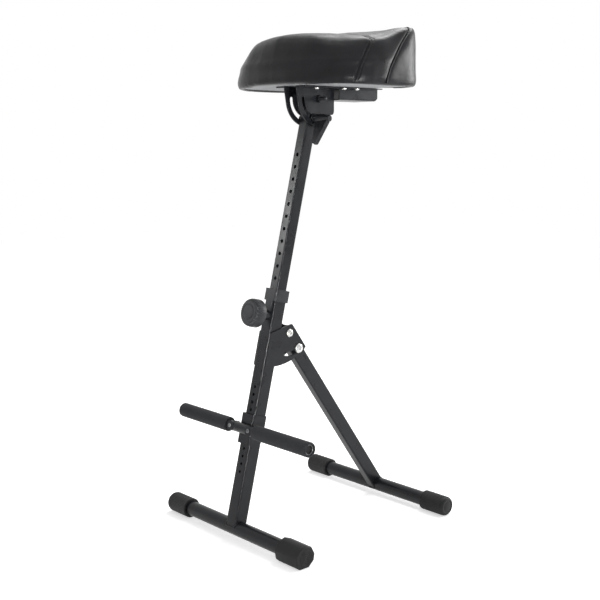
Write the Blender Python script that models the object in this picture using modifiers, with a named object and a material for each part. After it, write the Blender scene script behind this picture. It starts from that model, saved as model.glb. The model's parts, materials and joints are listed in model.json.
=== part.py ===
# Folding sit-stand stool: a leaning square post on two foot bars, a telescoping
# upper tube with a tilting seat, and a footrest that climbs the lower tube.
# Metres, +Z up. X runs across the stool, the sitter faces -Y.

import math

import bmesh
import bpy
from mathutils import Euler, Matrix

# Clearances
GAP = 0.0003
BOLT_PLAY = 0.0003
SLIDE_PLAY = 0.0003

# Stance
POST_LEAN = math.radians(13.7)
STANCE = 0.402
BAR_LENGTH = 0.400
BAR_RADIUS = 0.015
BAR_WALL = 0.002
BAR_HEIGHT = 0.01975

# Foot caps
CAP_RADIUS = 0.02025
CAP_GRIP = 0.054
CAP_FLOOR = 0.008
CAP_RIBS = 24
CAP_RIB_DEPTH = 0.0005
LEVELLER_FLATS = 9
LEVELLER_RISE = 0.0045
LEVELLER_CHAMFER = 0.002

# Lower tube of the post, lengths along the post from the front bar's axis
LOWER_SIZE = 0.030
LOWER_WALL = 0.0016
LOWER_CORNER = 0.0035
PIN_HEIGHT = 0.426
LOWER_TOP = PIN_HEIGHT + 0.048
FOOT_HOLES = 12
FOOT_PITCH = 0.0155
FOOT_HOLE_RADIUS = 0.003
FOOT_FIRST = 0.1121

# Upper tube
UPPER_SIZE = 0.025
UPPER_WALL = 0.0016
UPPER_CORNER = 0.003
UPPER_BOTTOM = 0.335
HEIGHT_HOLES = 14
HEIGHT_PITCH = 0.025
HEIGHT_HOLE_RADIUS = 0.0039
GUIDE_FLANGE = 0.006
GUIDE_SPIGOT = 0.018
UPPER_CAP = 0.0025

# Collar at the top of the lower tube
COLLAR_BOTTOM = LOWER_TOP - 0.018
COLLAR_TOP = LOWER_TOP + 0.006
COLLAR_WALL = 0.003
COLLAR_CORNER = 0.005
TONGUE_WIDTH = 0.020
TONGUE_DROP = 0.018
TONGUE_STEP = 0.0004

# Height lock: a sprung pin in a housing on the front of the post
PIN_RADIUS = 0.0035
PIN_FLANGE_RADIUS = 0.0062
PIN_FLANGE = 0.003
PIN_ROD_RADIUS = 0.0027
PIN_TRAVEL = 0.007
PIN_SHANK = 0.011
HOUSING_RADIUS = 0.010
HOUSING_LENGTH = 0.023
HOUSING_END = 0.0025
SPRING_WIRE = 0.0006
SPRING_RADIUS = 0.0046
SPRING_TURNS = 4
KNOB_RADIUS = 0.028
KNOB_DEPTH = 0.0195
KNOB_CLEAR = 0.008
KNOB_SKIRT = 0.006
KNOB_RIBS = 30
KNOB_RIB_DEPTH = 0.0008
KNOB_FACE_RADIUS = 0.0155
KNOB_FACE_DEPTH = 0.0008

# Hinge of the rear leg
HINGE_HEIGHT = 0.3986
HINGE_BACK = 0.0345
CHEEK = 0.003
CHEEK_FRONT = 0.013
CHEEK_TOP_FRONT = 0.393
CHEEK_LOW_FRONT = 0.3245
CHEEK_SAG = 0.0095
CHEEK_REAR = 0.0165
CHEEK_ABOVE = 0.010
CHEEK_BELOW = 0.0525
GUIDE_RADIUS = 0.0425
LEG_WIDTH = 0.020
LEG_DEPTH = 0.030
LEG_WALL = 0.0016
LEG_CORNER = 0.003
BOLT_RADIUS = 0.004
SPACER_RADIUS = 0.008
PIVOT_HEAD = 0.0085
GUIDE_HEAD = 0.0100
HEAD_RISE = 0.0042
NUT_FLATS = 0.013
NUT_DEPTH = 0.0065
BOLT_TAIL = 0.0015

# Seat tilt bracket
TILT_HEIGHT = 0.866
TILT_DROP = 0.040
TILT_RANGE = math.radians(76.0)
TUBE_ABOVE_PIVOT = 0.011
PLATE_INSIDE = 0.016
PLATE = 0.003
PLATE_FRONT = 0.059
PLATE_ARC = 0.054
PLATE_REAR = 0.043
PLATE_REAR_DROP = 0.031
FLANGE_LEVEL = 0.024
FLANGE_REACH = 0.042
STUB_LENGTH = 0.014
WASHER_RADIUS = 0.011
WASHER = 0.0024
CLAMP_HEAD = 0.008
CHANNEL_HALF = 0.033
CHANNEL_WALL = 0.002
CHANNEL_BOTTOM = -0.0015
CHANNEL_START = 0.044
CHANNEL_LENGTH = 0.110
CHANNEL_CORNER = 0.006

# Tilt lever
HUB_LENGTH = 0.040
HUB_RADIUS = 0.009
HUB_TIP_RADIUS = 0.0065
HUB_SOCKET = 0.034
LEVER_TURN = math.radians(-15.0)
LEVER_LENGTH = 0.056
LEVER_THICKNESS = 0.009
LEVER_ROOT = (0.027, 0.060)
LEVER_TIP = (0.042, 0.052)

# Seat
SEAT_WIDTH = 0.365
SEAT_FRONT = 0.1005
SEAT_REAR = 0.149
SEAT_FRONT_CORNER = 0.105
SEAT_REAR_CORNER = 0.070
SEAT_BOW = 0.008
SEAT_BOW_HALF = 0.080
SEAT_UNDER = FLANGE_LEVEL + GAP
SEAT_TOP = 0.1261
SEAT_SLOPE = 0.09
SEAT_CROWN = 0.019
SEAT_LIP = 0.1364
LIP_START = 0.013
LIP_CREST = 0.123
SEAT_WIDEST = 0.036
ROUND_FRONT = 0.033
ROUND_CORNER = 0.020
ROUND_SIDE = 0.016
ROUND_REAR = 0.012
FULL_SIDE = 2.3
FULL_CORNER = 1.5
FULL_REAR = 3.6
RIM_DROP = 0.0045
UNDER_TUCK = 0.006
BOARD_INSET = 0.014
BOARD = 0.010
SCREW_HEAD_RADIUS = 0.0052
SCREW_HEAD = 0.0034
SCREW_RADIUS = 0.0023
SCREW_LENGTH = 0.010
PLATE_SCREW_Y = -0.017
CHANNEL_SCREW_Y = (0.050, 0.086)
FLANGE_SCREW_X = 0.031
CHANNEL_SCREW_X = 0.040

# Footrest
REST_HEIGHT = 0.198
REST_FORWARD = 0.027
REST_TUBE_RADIUS = 0.010
REST_TUBE_WALL = 0.0045
REST_HALF = 0.196
REST_PLUG_SET = 0.0027
PLUG_FLANGE = 0.003
PLUG_SPIGOT = 0.015
PEG_PIVOT = 0.0285
PEG_WALL = 0.0015
PEG_CLEAR = 0.0005
PEG_SOLID = 0.010
PEG_TONGUE = 0.008
PEG_TONGUE_HALF = 0.0058
KNUCKLE_RADIUS = 0.0102
KNUCKLE_HALF = 0.0104
SLEEVE_SET = 0.001
SLEEVE_RADIUS = 0.0145
SLEEVE_ROUND = 0.0015
BRACKET_TALL = 0.060
BRACKET_WALL = 0.0025
BRACKET_FRONT = 0.0178
BACK_PIN_RADIUS = 0.00175
BACK_PIN_BACK = 0.0172
BACK_PIN_HEIGHT = 0.190
BACK_PIN_HEAD = 0.0034
BACK_PIN_HEAD_THICK = 0.0022
NUB_RADIUS = 0.0021
NUB_HOLE = 7
NUB_LIFT = -0.001
REST_SCREW_HEAD = 0.0040
REST_SCREW_RISE = 0.0022
REST_SCREW_RADIUS = 0.0022

ALONG_X = (0.0, math.pi / 2, 0.0)
AGAINST_X = (0.0, -math.pi / 2, 0.0)
SIDE_ON = (math.pi / 2, 0.0, math.pi / 2)
FORWARD = (math.pi / 2, 0.0, 0.0)
LEVEL = (0.0, 0.0, 0.0)
HERE = (0.0, 0.0, 0.0)


# Outlines

def arc(centre, radius, start, end, steps):
    points = []
    for i in range(steps + 1):
        angle = math.radians(start + (end - start) * i / steps)
        points.append((centre[0] + radius * math.cos(angle), centre[1] + radius * math.sin(angle)))
    return points


def circle(radius, steps):
    return arc((0.0, 0.0), radius, 0.0, 360.0 - 360.0 / steps, steps - 1)


def rounded_box(left, right, low, high, radius, steps=3):
    return (arc((right - radius, low + radius), radius, -90.0, 0.0, steps)
            + arc((right - radius, high - radius), radius, 0.0, 90.0, steps)
            + arc((left + radius, high - radius), radius, 90.0, 180.0, steps)
            + arc((left + radius, low + radius), radius, 180.0, 270.0, steps))


def square(size, radius, steps=3):
    return rounded_box(-size / 2, size / 2, -size / 2, size / 2, radius, steps)


def filleted(corners, radii, steps=3):
    # Rounds each corner of a polygon by its own radius.
    points = []
    for i, corner in enumerate(corners):
        radius = radii[i]
        if radius == 0.0:
            points.append(corner)
            continue
        before = corners[i - 1]
        after = corners[(i + 1) % len(corners)]
        a = unit(before[0] - corner[0], before[1] - corner[1])
        b = unit(after[0] - corner[0], after[1] - corner[1])
        half = math.acos(a[0] * b[0] + a[1] * b[1]) / 2
        reach = radius / math.tan(half)
        for k in range(steps + 1):
            t = k / steps
            p = (corner[0] + a[0] * reach * (1 - t) ** 2 + b[0] * reach * t ** 2,
                 corner[1] + a[1] * reach * (1 - t) ** 2 + b[1] * reach * t ** 2)
            points.append(p)
    return points


def unit(x, y):
    length = math.hypot(x, y)
    return (x / length, y / length)


def sagging_arc(start, end, sag, steps):
    # A shallow curve from start to end that bellies to the right of its direction.
    dx = end[0] - start[0]
    dy = end[1] - start[1]
    along = math.hypot(dx, dy)
    points = []
    for i in range(steps + 1):
        t = i / steps
        belly = sag * 4 * t * (1 - t)
        points.append((start[0] + dx * t - dy / along * belly, start[1] + dy * t + dx / along * belly))
    return points


def arc_slot(centre, radius, start, end, half_width):
    first = (centre[0] + radius * math.cos(math.radians(start)),
             centre[1] + radius * math.sin(math.radians(start)))
    last = (centre[0] + radius * math.cos(math.radians(end)),
            centre[1] + radius * math.sin(math.radians(end)))
    return (arc(centre, radius + half_width, start, end, 12)
            + arc(last, half_width, end, end + 180.0, 6)[1:-1]
            + arc(centre, radius - half_width, end, start, 12)
            + arc(first, half_width, start + 180.0, start + 360.0, 6)[1:-1])


def hexagon(flats):
    return arc((0.0, 0.0), flats / math.sqrt(3), 0.0, 300.0, 5)


def snail(low, rise, count):
    # Flats at even angles whose distance from the axis grows from low to low + rise.
    step = 2 * math.pi / count
    reach = [low + rise * i / (count - 1) for i in range(count)]
    points = []
    for i in range(count):
        here = i * step
        d0 = reach[i]
        d1 = reach[(i + 1) % count]
        along = (d1 - d0 * math.cos(step)) / math.sin(step)
        points.append((d0 * math.cos(here) - along * math.sin(here),
                       d0 * math.sin(here) + along * math.cos(here)))
    return points


# Meshes

def tidy(mesh):
    bm = bmesh.new()
    bm.from_mesh(mesh)
    bmesh.ops.remove_doubles(bm, verts=bm.verts, dist=0.000002)
    bmesh.ops.recalc_face_normals(bm, faces=bm.faces)
    bm.to_mesh(mesh)
    bm.free()
    return mesh


def evaluated(thing):
    depsgraph = bpy.context.evaluated_depsgraph_get()
    mesh = bpy.data.meshes.new_from_object(thing.evaluated_get(depsgraph))
    data = thing.data
    bpy.data.objects.remove(thing)
    if isinstance(data, bpy.types.Mesh):
        bpy.data.meshes.remove(data)
    else:
        bpy.data.curves.remove(data)
    return tidy(mesh)


def prism(outlines, thickness):
    # First outline is the edge, the others are holes through it.
    curve = bpy.data.curves.new("outline", "CURVE")
    curve.dimensions = "2D"
    curve.fill_mode = "BOTH"
    curve.extrude = thickness / 2
    for outline in outlines:
        spline = curve.splines.new("POLY")
        spline.points.add(len(outline) - 1)
        for point, (u, v) in zip(spline.points, outline):
            point.co = (u, v, 0.0, 1.0)
        spline.use_cyclic_u = True
    sketch = bpy.data.objects.new("outline", curve)
    parts.objects.link(sketch)
    return evaluated(sketch)


def turned(profile, steps, ring=False):
    # Profile is (radius, height) from top to bottom down the outside.
    edges = [(i, i + 1) for i in range(len(profile) - 1)]
    if ring:
        edges.append((len(profile) - 1, 0))
    mesh = bpy.data.meshes.new("profile")
    mesh.from_pydata([(r, 0.0, z) for r, z in profile], edges, [])
    lathe = bpy.data.objects.new("profile", mesh)
    parts.objects.link(lathe)
    screw = lathe.modifiers.new("turn", "SCREW")
    screw.steps = steps
    screw.render_steps = steps
    screw.use_merge_vertices = True
    screw.merge_threshold = 0.00001
    return evaluated(lathe)


def ribbed(mesh, steps, depth, inner, low, high, sole=0.0):
    # Every other column of a turned mesh moves in, which leaves ribs; a sole stays smooth.
    for vertex in mesh.vertices:
        x, y, z = vertex.co
        radius = math.hypot(x, y)
        if radius < inner or z < low or z > high:
            continue
        angle = math.atan2(y, x)
        column = round(angle / (2 * math.pi) * steps)
        if column % 2 and abs(angle) >= sole:
            scale = (radius - depth) / radius
            vertex.co = (x * scale, y * scale, z)
    return mesh


def rods(radius, length, centres, turn, steps=12):
    bm = bmesh.new()
    for centre in centres:
        place = Matrix.Translation(centre) @ Euler(turn).to_matrix().to_4x4()
        bmesh.ops.create_cone(bm, cap_ends=True, segments=steps, radius1=radius, radius2=radius,
                              depth=length, matrix=place)
    mesh = bpy.data.meshes.new("rods")
    bm.to_mesh(mesh)
    bm.free()
    return mesh


def block(size, centre):
    bm = bmesh.new()
    place = Matrix.Translation(centre) @ Matrix.Diagonal((*size, 1.0))
    bmesh.ops.create_cube(bm, size=1.0, matrix=place)
    mesh = bpy.data.meshes.new("block")
    bm.to_mesh(mesh)
    bm.free()
    return mesh


def ring_mesh(inner, outer, length, steps=16):
    profile = [(outer, length / 2), (outer, -length / 2), (inner, -length / 2), (inner, length / 2)]
    return turned(profile, steps, ring=True)


def bolt_mesh(radius, head, rise, length, steps=16):
    # Low domed head above zero, plain shank below it.
    profile = [(0.0, rise), (head * 0.45, rise * 0.93), (head * 0.8, rise * 0.66),
               (head, rise * 0.2), (head, 0.0), (radius, 0.0),
               (radius, -length + 0.0005), (radius - 0.0005, -length), (0.0, -length)]
    return turned(profile, steps)


# Scene building

def collection(name):
    group = bpy.data.collections.new(name)
    bpy.context.scene.collection.children.link(group)
    return group


def finish(name, colour, roughness, metallic):
    material = bpy.data.materials.new(name)
    material.use_nodes = True
    shader = material.node_tree.nodes["Principled BSDF"]
    shader.inputs["Base Color"].default_value = (*colour, 1.0)
    shader.inputs["Roughness"].default_value = roughness
    shader.inputs["Metallic"].default_value = metallic
    return material


def frame(name, place, turn=LEVEL, parent=None):
    empty = bpy.data.objects.new(name, None)
    empty.location = place
    empty.rotation_euler = turn
    empty.parent = parent
    parts.objects.link(empty)
    return empty


def piece(name, mesh, material, parent, place=HERE, turn=LEVEL, smooth=True):
    thing = bpy.data.objects.new(name, mesh)
    mesh.name = name
    mesh.materials.clear()
    mesh.materials.append(material)
    if smooth:
        mesh.shade_smooth()
        mesh.set_sharp_from_angle(angle=math.radians(35))
    thing.parent = parent
    thing.location = place
    thing.rotation_euler = turn
    parts.objects.link(thing)
    return thing


def work(thing, tool_mesh, operation, place=HERE, turn=LEVEL, parent=None):
    # Cuts, joins or trims a piece with a hidden tool that sits in the piece's own frame.
    tool = bpy.data.objects.new(thing.name + "_tool", tool_mesh)
    tool.parent = parent or thing.parent
    tool.location = place
    tool.rotation_euler = turn
    tool.hide_render = True
    tool.display_type = "WIRE"
    tools.objects.link(tool)
    boolean = thing.modifiers.new(operation.lower(), "BOOLEAN")
    boolean.operation = operation
    boolean.solver = "EXACT"
    boolean.object = tool


def cut(thing, tool_mesh, place=HERE, turn=LEVEL, parent=None):
    work(thing, tool_mesh, "DIFFERENCE", place, turn, parent)


def join(thing, tool_mesh, place=HERE, turn=LEVEL, parent=None):
    work(thing, tool_mesh, "UNION", place, turn, parent)


# Sizes worked out from the driving dimensions

def cap_bore():
    return BAR_RADIUS + GAP


def seated(half):
    return half + GAP


def hinge_point():
    # Hinge pivot behind the post, in the stool's upright axes, from the front bar.
    y = HINGE_HEIGHT * math.sin(POST_LEAN) + HINGE_BACK * math.cos(POST_LEAN)
    z = HINGE_HEIGHT * math.cos(POST_LEAN) - HINGE_BACK * math.sin(POST_LEAN)
    return (y, z)


def leg_slope():
    y, z = hinge_point()
    return math.atan2(STANCE - y, z)


def leg_length():
    y, z = hinge_point()
    return math.hypot(STANCE - y, z)


def stance_centre():
    front = max(CAP_RADIUS, -min(v for u, v in snail(BAR_HEIGHT, LEVELLER_RISE, LEVELLER_FLATS)))
    return (STANCE + CAP_RADIUS - front) / 2


# Sub-assemblies

def foot_bar(name, parent, place):
    outlines = [circle(BAR_RADIUS, 32), circle(BAR_RADIUS - BAR_WALL, 32)]
    piece(name, prism(outlines, BAR_LENGTH), powder_coat, parent, place, ALONG_X)


def foot_cap(name, parent, place, turn, floor_side):
    steps = 2 * CAP_RIBS
    bore = cap_bore()
    base = GAP + CAP_FLOOR
    profile = [(0.0, base), (CAP_RADIUS * 0.70, base), (CAP_RADIUS * 0.86, base - 0.0012),
               (CAP_RADIUS * 0.96, base - 0.0036), (CAP_RADIUS, base - 0.007),
               (CAP_RADIUS, 0.003 - CAP_GRIP), (CAP_RADIUS - 0.0007, -CAP_GRIP),
               (bore, -CAP_GRIP), (bore, GAP), (0.0, GAP)]
    mesh = ribbed(turned(profile, steps), steps, CAP_RIB_DEPTH, CAP_RADIUS - 0.0001,
                  0.002 - CAP_GRIP, base - 0.006, math.radians(40))
    if floor_side < 0:
        mesh.transform(Matrix.Rotation(math.pi, 4, "Z"))
    cap = piece(name, mesh, cap_rubber, parent, place, turn)
    sole = block((4 * CAP_GRIP, 4 * CAP_RADIUS, CAP_RADIUS), (0.0, 0.0, -BAR_HEIGHT - CAP_RADIUS / 2))
    cut(cap, sole, place)


def levelling_cap(parent, place):
    base = GAP + CAP_FLOOR
    length = base + CAP_GRIP
    middle = (base - CAP_GRIP) / 2
    mesh = prism([snail(BAR_HEIGHT, LEVELLER_RISE, LEVELLER_FLATS)], length)
    cap = piece("levelling_cap", mesh, cap_rubber, parent, (place + middle, 0.0, 0.0), ALONG_X, smooth=False)
    bevel = cap.modifiers.new("chamfer", "BEVEL")
    bevel.width = LEVELLER_CHAMFER
    bevel.segments = 1
    bevel.limit_method = "ANGLE"
    bevel.angle_limit = math.radians(60)
    bore = CAP_GRIP + GAP
    cut(cap, rods(cap_bore(), 2 * bore, [HERE], ALONG_X, 32), (place + GAP - bore, 0.0, 0.0))
    cut(cap, rods(BAR_RADIUS, 2 * LEVELLER_CHAMFER, [HERE], ALONG_X, 32), (place + base, 0.0, 0.0))


def cope(thing, parent, place):
    # Saddle that lets a tube sit on a foot bar.
    cut(thing, rods(BAR_RADIUS + GAP, 3 * LOWER_SIZE, [HERE], ALONG_X, 48), place, LEVEL, parent)


def lower_post(post):
    inner = LOWER_SIZE - 2 * LOWER_WALL
    outlines = [square(LOWER_SIZE, LOWER_CORNER), square(inner, LOWER_CORNER - LOWER_WALL)]
    tube = piece("lower_post_tube", prism(outlines, LOWER_TOP), powder_coat, post, (0.0, 0.0, LOWER_TOP / 2))
    cope(tube, post, HERE)
    face = -LOWER_SIZE / 2
    holes = [(0.0, face, FOOT_FIRST + FOOT_PITCH * k) for k in range(FOOT_HOLES)]
    cut(tube, rods(FOOT_HOLE_RADIUS, 4 * LOWER_WALL, holes, FORWARD))
    cut(tube, rods(PIN_RADIUS + 2 * SLIDE_PLAY, 4 * LOWER_WALL, [(0.0, face, PIN_HEIGHT)], FORWARD))


def post_collar(post):
    outer = LOWER_SIZE + 2 * GAP + 2 * COLLAR_WALL
    tall = COLLAR_TOP - COLLAR_BOTTOM
    middle = (0.0, 0.0, (COLLAR_TOP + COLLAR_BOTTOM) / 2)
    through = square(UPPER_SIZE + 2 * SLIDE_PLAY, UPPER_CORNER + SLIDE_PLAY)
    collar = piece("post_collar", prism([square(outer, COLLAR_CORNER), through], tall), nylon, post, middle)
    pocket = prism([square(LOWER_SIZE + 2 * GAP, LOWER_CORNER + GAP)], tall)
    cut(collar, pocket, (0.0, 0.0, LOWER_TOP + GAP - tall / 2))
    # Tongue that runs down the front of the tube, a little thinner than the collar's wall.
    thick = COLLAR_WALL - 2 * TONGUE_STEP
    length = TONGUE_DROP + COLLAR_WALL
    place = (0.0, -outer / 2 + COLLAR_WALL / 2, COLLAR_BOTTOM + COLLAR_WALL - length / 2)
    join(collar, block((TONGUE_WIDTH, thick, length), place))


def height_lock(post):
    # Every height here is a distance in front of the post's axis.
    pin = frame("pin_axis", (0.0, 0.0, PIN_HEIGHT), FORWARD, post)
    seat = LOWER_SIZE / 2 + GAP
    top = seat + HOUSING_LENGTH
    bore = PIN_FLANGE_RADIUS + 0.0004
    rod_hole = PIN_ROD_RADIUS + SLIDE_PLAY
    housing = [(rod_hole, top), (HOUSING_RADIUS - 0.0015, top), (HOUSING_RADIUS, top - 0.0015),
               (HOUSING_RADIUS, seat), (bore, seat), (bore, top - HOUSING_END), (rod_hole, top - HOUSING_END)]
    piece("pin_housing", turned(housing, 24, ring=True), powder_coat, pin)

    tip = UPPER_SIZE / 2 + 0.0005
    flange = tip + PIN_SHANK
    flange_top = flange + PIN_FLANGE
    knob_back = top + KNOB_CLEAR
    rod_top = knob_back + 0.009
    profile = [(0.0, rod_top), (PIN_ROD_RADIUS, rod_top), (PIN_ROD_RADIUS, flange_top),
               (PIN_FLANGE_RADIUS, flange_top), (PIN_FLANGE_RADIUS, flange), (PIN_RADIUS, flange),
               (PIN_RADIUS, tip + 0.0012), (PIN_RADIUS - 0.0012, tip), (0.0, tip)]
    piece("lock_pin", turned(profile, 16), zinc, pin)

    spring_low = flange_top + GAP + SPRING_WIRE
    spring_high = top - HOUSING_END - GAP - SPRING_WIRE
    spring = coil(spring_low, spring_high)
    piece("pin_spring", spring, zinc, pin)

    bore_top = rod_top + GAP
    face = knob_back + KNOB_DEPTH
    r = KNOB_RADIUS
    skirt = knob_back - KNOB_SKIRT
    hollow = HOUSING_RADIUS + 0.0025
    knob = [(0.0, face - KNOB_FACE_DEPTH), (KNOB_FACE_RADIUS, face - KNOB_FACE_DEPTH),
            (KNOB_FACE_RADIUS, face), (r - 0.005, face), (r - 0.0015, face - 0.0025), (r, face - 0.007),
            (r, skirt + 0.003), (r - 0.002, skirt), (hollow, skirt), (hollow, knob_back),
            (rod_hole, knob_back), (rod_hole, bore_top), (0.0, bore_top)]
    steps = 2 * KNOB_RIBS
    mesh = ribbed(turned(knob, steps), steps, KNOB_RIB_DEPTH, r - 0.0005, skirt + 0.002, face - 0.006)
    piece("height_knob", mesh, knob_plastic, pin)
    cover_radius = KNOB_FACE_RADIUS - GAP
    low = face - KNOB_FACE_DEPTH + GAP
    cover = [(0.0, face + 0.0006), (cover_radius * 0.7, face + 0.0004), (cover_radius, face - 0.0001),
             (cover_radius, low), (0.0, low)]
    piece("knob_cover", turned(cover, 24), knob_plastic, pin)


def coil(low, high):
    # Compressed spring round the rod; its least gap to itself is the pitch less the wire.
    per_turn = 10
    count = SPRING_TURNS * per_turn
    curve = bpy.data.curves.new("coil", "CURVE")
    curve.dimensions = "3D"
    curve.bevel_depth = SPRING_WIRE
    curve.bevel_resolution = 1
    curve.use_fill_caps = True
    spline = curve.splines.new("POLY")
    spline.points.add(count)
    path = []
    for i in range(count + 1):
        angle = 2 * math.pi * i / per_turn
        height = low + (high - low) * i / count
        path.append((SPRING_RADIUS * math.cos(angle), SPRING_RADIUS * math.sin(angle), height))
        spline.points[i].co = (*path[i], 1.0)
    gap = min(math.dist(path[i], path[i + per_turn]) for i in range(count + 1 - per_turn)) - 2 * SPRING_WIRE
    print("pin_spring least gap to itself %.2f mm" % (gap * 1000))
    wire = bpy.data.objects.new("coil", curve)
    parts.objects.link(wire)
    return evaluated(wire)


def hinge_cheeks(post, fold):
    pivot = (HINGE_BACK, HINGE_HEIGHT)
    down = (math.sin(fold), -math.cos(fold))
    rear = (math.cos(fold), math.sin(fold))

    def beside(back, below):
        return (pivot[0] + rear[0] * back + down[0] * below, pivot[1] + rear[1] * back + down[1] * below)

    notch = beside(CHEEK_REAR * 0.36, CHEEK_BELOW + 0.003)
    belly = sagging_arc(notch, (-CHEEK_FRONT, CHEEK_LOW_FRONT), CHEEK_SAG, 10)
    crown = filleted([(-CHEEK_FRONT, CHEEK_TOP_FRONT), beside(CHEEK_REAR, -CHEEK_ABOVE),
                      beside(CHEEK_REAR, CHEEK_BELOW)] + belly, [0.002, 0.004, 0.001] + [0.0] * len(belly))
    start = math.degrees(fold) - 90.0
    slot = arc_slot(pivot, GUIDE_RADIUS, -90.0, start, BOLT_RADIUS + BOLT_PLAY)
    hole = arc(pivot, BOLT_RADIUS + BOLT_PLAY, 0.0, 337.5, 15)
    inside = seated(LOWER_SIZE / 2)
    for side, name in ((1, "hinge_cheek_right"), (-1, "hinge_cheek_left")):
        mesh = prism([crown, hole, slot], CHEEK)
        piece(name, mesh, powder_coat, post, (side * (inside + CHEEK / 2), 0.0, 0.0), SIDE_ON, smooth=False)


def cross_bolt(bolt, nut, parent, place, head, reach, tail=BOLT_TAIL, nut_finish=None):
    # A domed bolt along X with its head on the right and its nut on the left.
    seat = reach + GAP
    length = 2 * seat + NUT_DEPTH + tail
    piece(bolt, bolt_mesh(BOLT_RADIUS, head, HEAD_RISE, length), zinc, parent, (seat, *place), ALONG_X)
    outlines = [hexagon(NUT_FLATS), circle(BOLT_RADIUS + BOLT_PLAY, 16)]
    piece(nut, prism(outlines, NUT_DEPTH), nut_finish or zinc, parent,
          (-seat - NUT_DEPTH / 2, *place), ALONG_X, smooth=False)


def spacers(names, parent, place, low, high, outer):
    length = high - low - 2 * GAP
    middle = (high + low) / 2
    for side, name in zip((-1, 1), names):
        mesh = ring_mesh(BOLT_RADIUS + BOLT_PLAY, outer, length)
        piece(name, mesh, nylon, parent, (side * middle, *place), ALONG_X)


def rear_leg(leg):
    length = leg_length()
    inner_x = LEG_WIDTH - 2 * LEG_WALL
    inner_y = LEG_DEPTH - 2 * LEG_WALL
    outer = rounded_box(-LEG_WIDTH / 2, LEG_WIDTH / 2, -LEG_DEPTH / 2, LEG_DEPTH / 2, LEG_CORNER)
    inner = rounded_box(-inner_x / 2, inner_x / 2, -inner_y / 2, inner_y / 2, LEG_CORNER - LEG_WALL)
    top = LEG_DEPTH / 2
    mesh = prism([outer, inner], length + top)
    tube = piece("rear_leg_tube", mesh, powder_coat, leg, (0.0, 0.0, (top - length) / 2))
    cope(tube, leg, (0.0, 0.0, -length))
    wide = LEG_DEPTH
    above = arc((0.0, 0.0), top, 180.0, 0.0, 16) + [(wide, 0.0), (wide, wide), (-wide, wide), (-wide, 0.0)]
    cut(tube, prism([above], 2 * LEG_WIDTH), HERE, SIDE_ON)
    holes = [(0.0, 0.0, 0.0), (0.0, 0.0, -GUIDE_RADIUS)]
    cut(tube, rods(BOLT_RADIUS + BOLT_PLAY, 2 * LEG_WIDTH, holes, ALONG_X, 16))
    foot_bar("rear_foot_bar", leg, (0.0, 0.0, -length))


def upper_post(post):
    top = TILT_HEIGHT + TUBE_ABOVE_PIVOT
    tall = top - UPPER_BOTTOM
    inner = UPPER_SIZE - 2 * UPPER_WALL
    outlines = [square(UPPER_SIZE, UPPER_CORNER), square(inner, UPPER_CORNER - UPPER_WALL)]
    tube = piece("upper_tube", prism(outlines, tall), powder_coat, post, (0.0, 0.0, (top + UPPER_BOTTOM) / 2))
    holes = [(0.0, -UPPER_SIZE / 2, PIN_HEIGHT + HEIGHT_PITCH * k) for k in range(HEIGHT_HOLES)]
    cut(tube, rods(HEIGHT_HOLE_RADIUS, 4 * UPPER_WALL, holes, FORWARD))
    cross = [(0.0, 0.0, TILT_HEIGHT), (0.0, 0.0, TILT_HEIGHT - TILT_DROP)]
    cut(tube, rods(BOLT_RADIUS + BOLT_PLAY, 2 * UPPER_SIZE, cross, ALONG_X, 16))

    lower_inside = LOWER_SIZE - 2 * LOWER_WALL
    flange = square(lower_inside - 2 * SLIDE_PLAY, LOWER_CORNER - LOWER_WALL)
    low = UPPER_BOTTOM - GAP - GUIDE_FLANGE
    guide = piece("upper_tube_guide", prism([flange], GUIDE_FLANGE), nylon, post,
                  (0.0, 0.0, low + GUIDE_FLANGE / 2), smooth=False)
    spigot = square(inner - 2 * GAP, UPPER_CORNER - UPPER_WALL)
    join(guide, prism([spigot], GUIDE_SPIGOT), (0.0, 0.0, low + 0.001 + GUIDE_SPIGOT / 2))

    cap = piece("upper_tube_cap", prism([square(UPPER_SIZE, UPPER_CORNER)], UPPER_CAP), nylon, post,
                (0.0, 0.0, top + GAP + UPPER_CAP / 2), smooth=False)
    plug = TUBE_ABOVE_PIVOT - BOLT_RADIUS - 0.001
    join(cap, prism([spigot], plug), (0.0, 0.0, top + GAP + 0.001 - plug / 2))


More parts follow.
